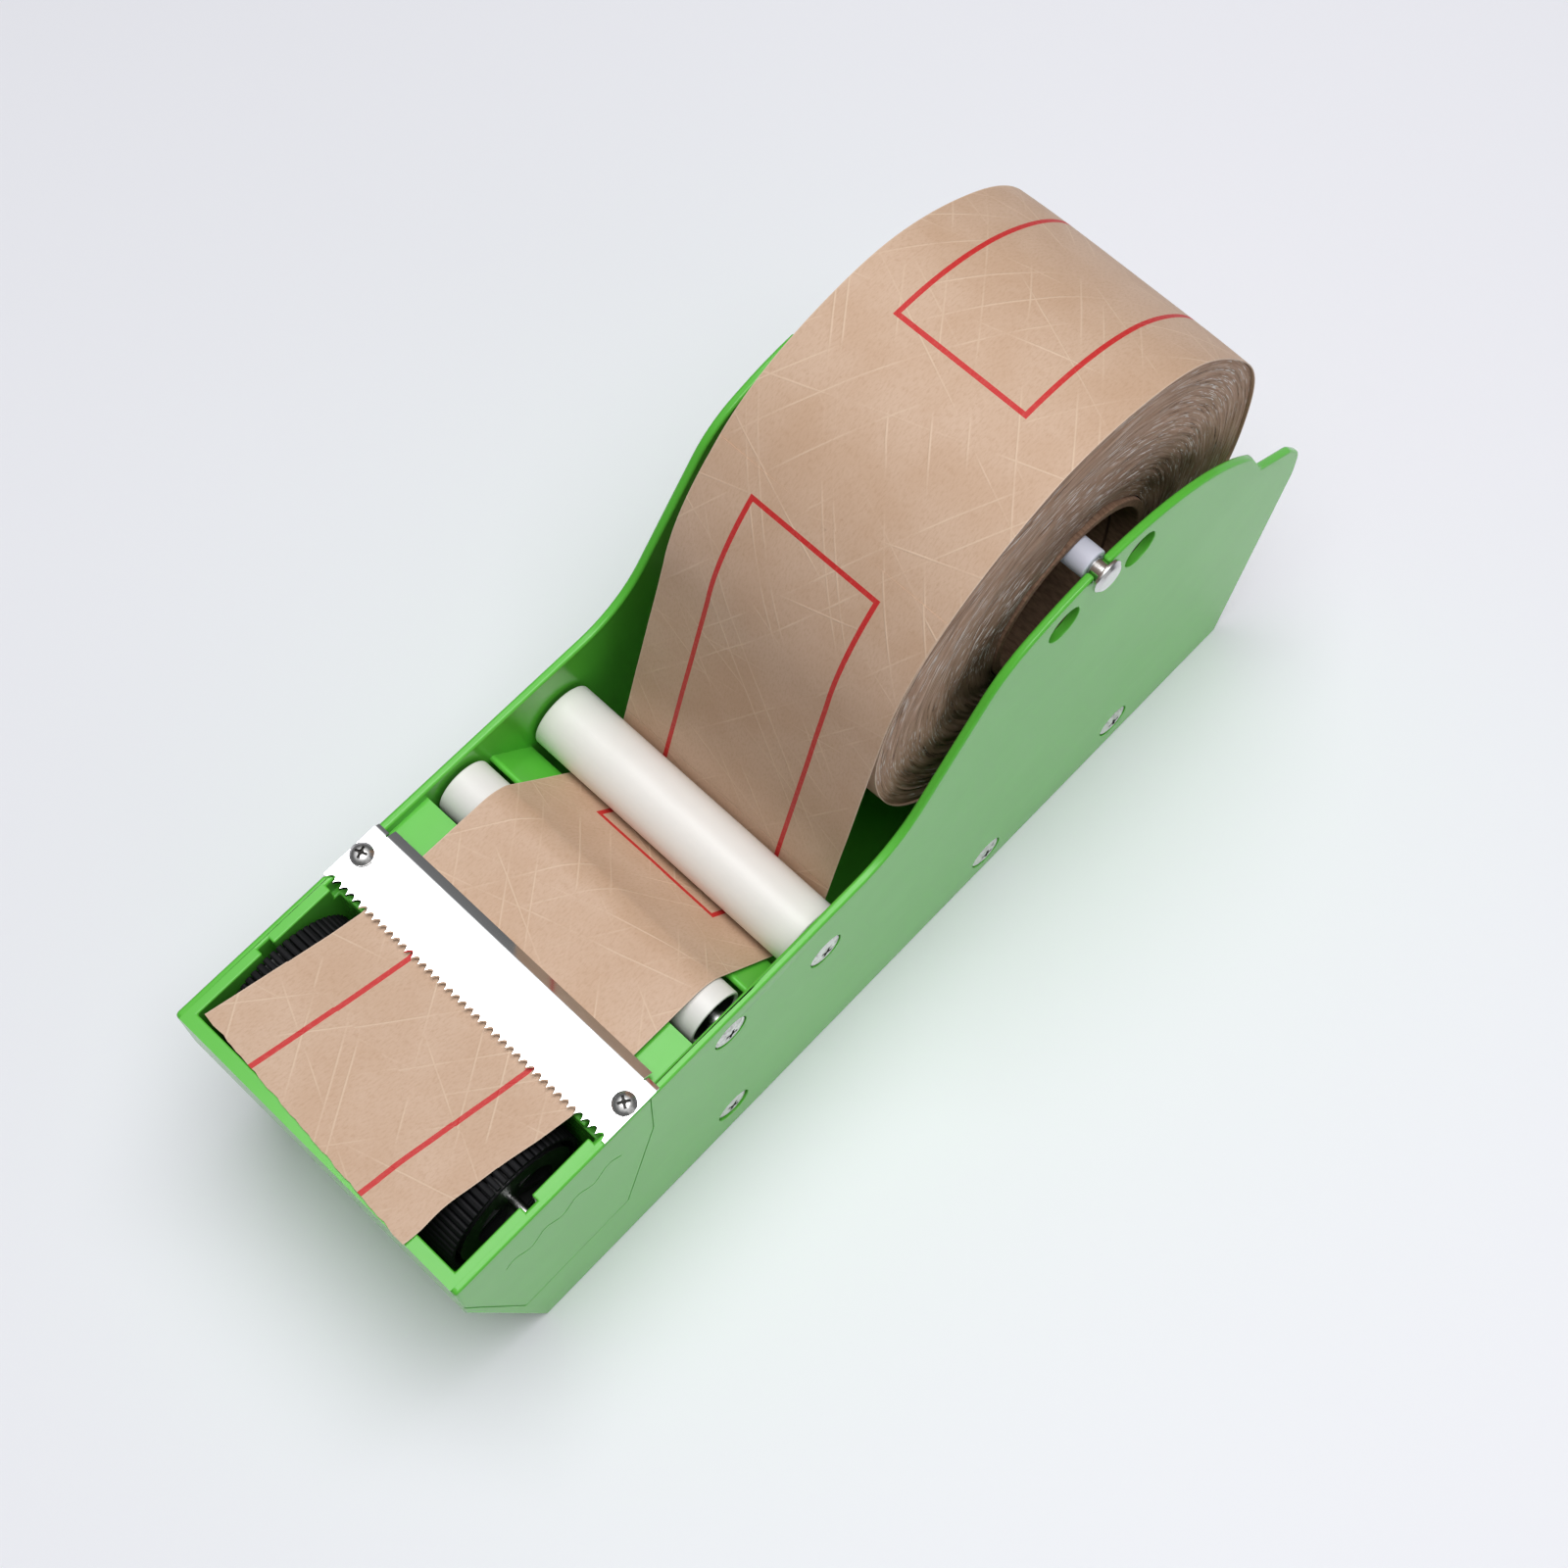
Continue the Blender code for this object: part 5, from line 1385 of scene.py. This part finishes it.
def side_rows(rng, face_x, side, inner, outer, centre, turn):
    """Rows of one side of the roll, from its core to its outside."""
    places = layer_places(rng, inner, outer)
    phases = rng.uniform(0.0, 2.0 * math.pi, 6)
    rows = []
    for radius, out in places:
        depth = (radius - inner) / (outer - inner)
        sway = sum(size * np.sin(waves * turn + phase + twist * depth)
                   for (size, waves, twist), phase in zip(SWAYS, phases))
        drift = DRIFT * np.sin(3.0 * turn + phases[3] + 5.0 * depth)
        reach = (radius + drift * math.sin(math.pi * depth)
                 - unevenness(turn, side * STRIP_HALF) * depth ** 3)
        fade = min(1.0, 4.0 * (1.0 - depth)) * (1.0 - RIM_SWAY) + RIM_SWAY
        x = face_x + side * (out - FACE_SINK + sway * fade)
        rows.append(ring_row(x, reach, turn, centre))
    return rows


def make_roll(route):
    """The wound layers, their outermost one with its print, and the card core."""
    roll, core = Span("tape_roll"), Span("roll_core")
    centre, outer = roll.centre, roll.radius
    inner = core.radius + SEAT
    turn = 2.0 * math.pi * np.arange(FACETS) / FACETS
    rng = np.random.default_rng(7)
    rows = side_rows(rng, ROLL_MIDDLE_X + WOUND_HALF, 1, inner, outer - WRAP, centre, turn)
    rows += reversed(side_rows(rng, ROLL_MIDDLE_X - WOUND_HALF, -1, inner, outer - WRAP,
                               centre, turn))
    hand_over(ring_grid("wound_layers", "wound", rows), "roll", "wound_kraft", "tape_roll")

    # the outermost layer, whose print runs on from the tape that leaves the roll
    pieces = round_pieces()
    off_roll, _ = tangent(pieces["roll"], pieces["rear"])
    start = math.atan2(off_roll[1] - centre.z, off_roll[0] - centre.y)
    turn = start - 2.0 * math.pi * (np.arange(FACETS) / FACETS - WRAP_START)
    along = route[2]["roll"] + (start - turn) * outer
    across = np.linspace(-STRIP_HALF, STRIP_HALF, WRAP_COLUMNS)
    rows = []
    for radius, places in ((outer, across), (outer - WRAP, across[::-1])):
        for place in places:
            x = (ROLL_MIDDLE_X + place * WOUND_HALF / STRIP_HALF
                 + WRAP_SWAY * np.sin(3.0 * turn + 1.3) * np.sign(place))
            rows.append(ring_row(x, radius - unevenness(turn, place), turn, centre))
    across = np.concatenate([across, across[::-1]])
    hand_over(ring_grid("outer_wrap", "kraft", rows, (across, along)), "roll", "kraft")

    shell = tube(core.half, CORE_BORE, core.radius, CORE_INNER_EDGE, CORE_EDGE)
    piece = turned_piece("card_core", "card", 144, [(shell, core.centre)])
    hand_over(piece, "roll", "card", "roll_core")


# Studio

FLOOR_HALF = 6.0
LAMP_AIM = Vector((0.0, 0.0, 0.08))
TENT_WHITE = (0.97, 0.985, 1.0, 1.0)


def make_floor():
    bm = bmesh.new()
    bmesh.ops.create_grid(bm, x_segments=1, y_segments=1, size=FLOOR_HALF)
    new_piece("floor", plain_mesh("floor", bm), "floor", 40.0)


def add_lamp(name, place, size, power):
    """A square soft panel that faces the machine."""
    data = bpy.data.lights.new(name, "AREA")
    data.shape, data.size, data.energy = "SQUARE", size, power
    lamp = placed(name, data)
    lamp.location = place
    lamp.rotation_euler = (LAMP_AIM - lamp.location).to_track_quat("-Z", "Y").to_euler()


def make_light():
    """A soft panel overhead and a weak one at the side, in a white tent."""
    world = bpy.data.worlds.new("tent")
    bpy.context.scene.world = world
    world.use_nodes = True
    world.node_tree.nodes.clear()
    tree = Tree(world.node_tree)
    camera = tree.node("ShaderNodeLightPath", output="Is Camera Ray")
    gloss = camera.part("Is Glossy Ray").most(camera.part("Is Transmission Ray"))
    up = tree.split(tree.node("ShaderNodeTexCoord", output="Generated"))[2]
    tent = 0.15 + tree.smooth(up, 0.40, 0.93) * 0.95
    fill = 0.03 + tree.smooth(up, 0.1, 0.8) * 0.16
    strength = camera.most(gloss * tent + (1.0 - gloss) * fill)
    sky = tree.node("ShaderNodeBackground", {"Color": TENT_WHITE, "Strength": strength})
    tree.node("ShaderNodeOutputWorld", {"Surface": sky})
    add_lamp("soft_top", (0.14, 0.10, 2.50), 1.8, 56.5)
    add_lamp("soft_side", (1.50, 0.00, 0.60), 1.3, 2.0)


def make_camera():
    data = bpy.data.cameras.new("camera")
    data.lens, data.sensor_width = CAMERA_LENS_MM, CAMERA_SENSOR_MM
    data.shift_x, data.shift_y = CAMERA_SHIFT
    camera = placed("camera", data)
    camera.location = CAMERA_PLACE
    camera.rotation_euler = [math.radians(turn) for turn in CAMERA_TURN_DEG]
    bpy.context.scene.camera = camera


make_camera()
make_light()
make_floor()
make_mouldings()
make_screws()
make_roller("front_roller")
make_roller("rear_roller")
make_rods()
make_feet()
make_wheel()
make_blade()
make_spindle()
route = tape_route()
make_tape(route)
make_roll(route)
bpy.context.scene.view_settings.view_transform = "Standard"
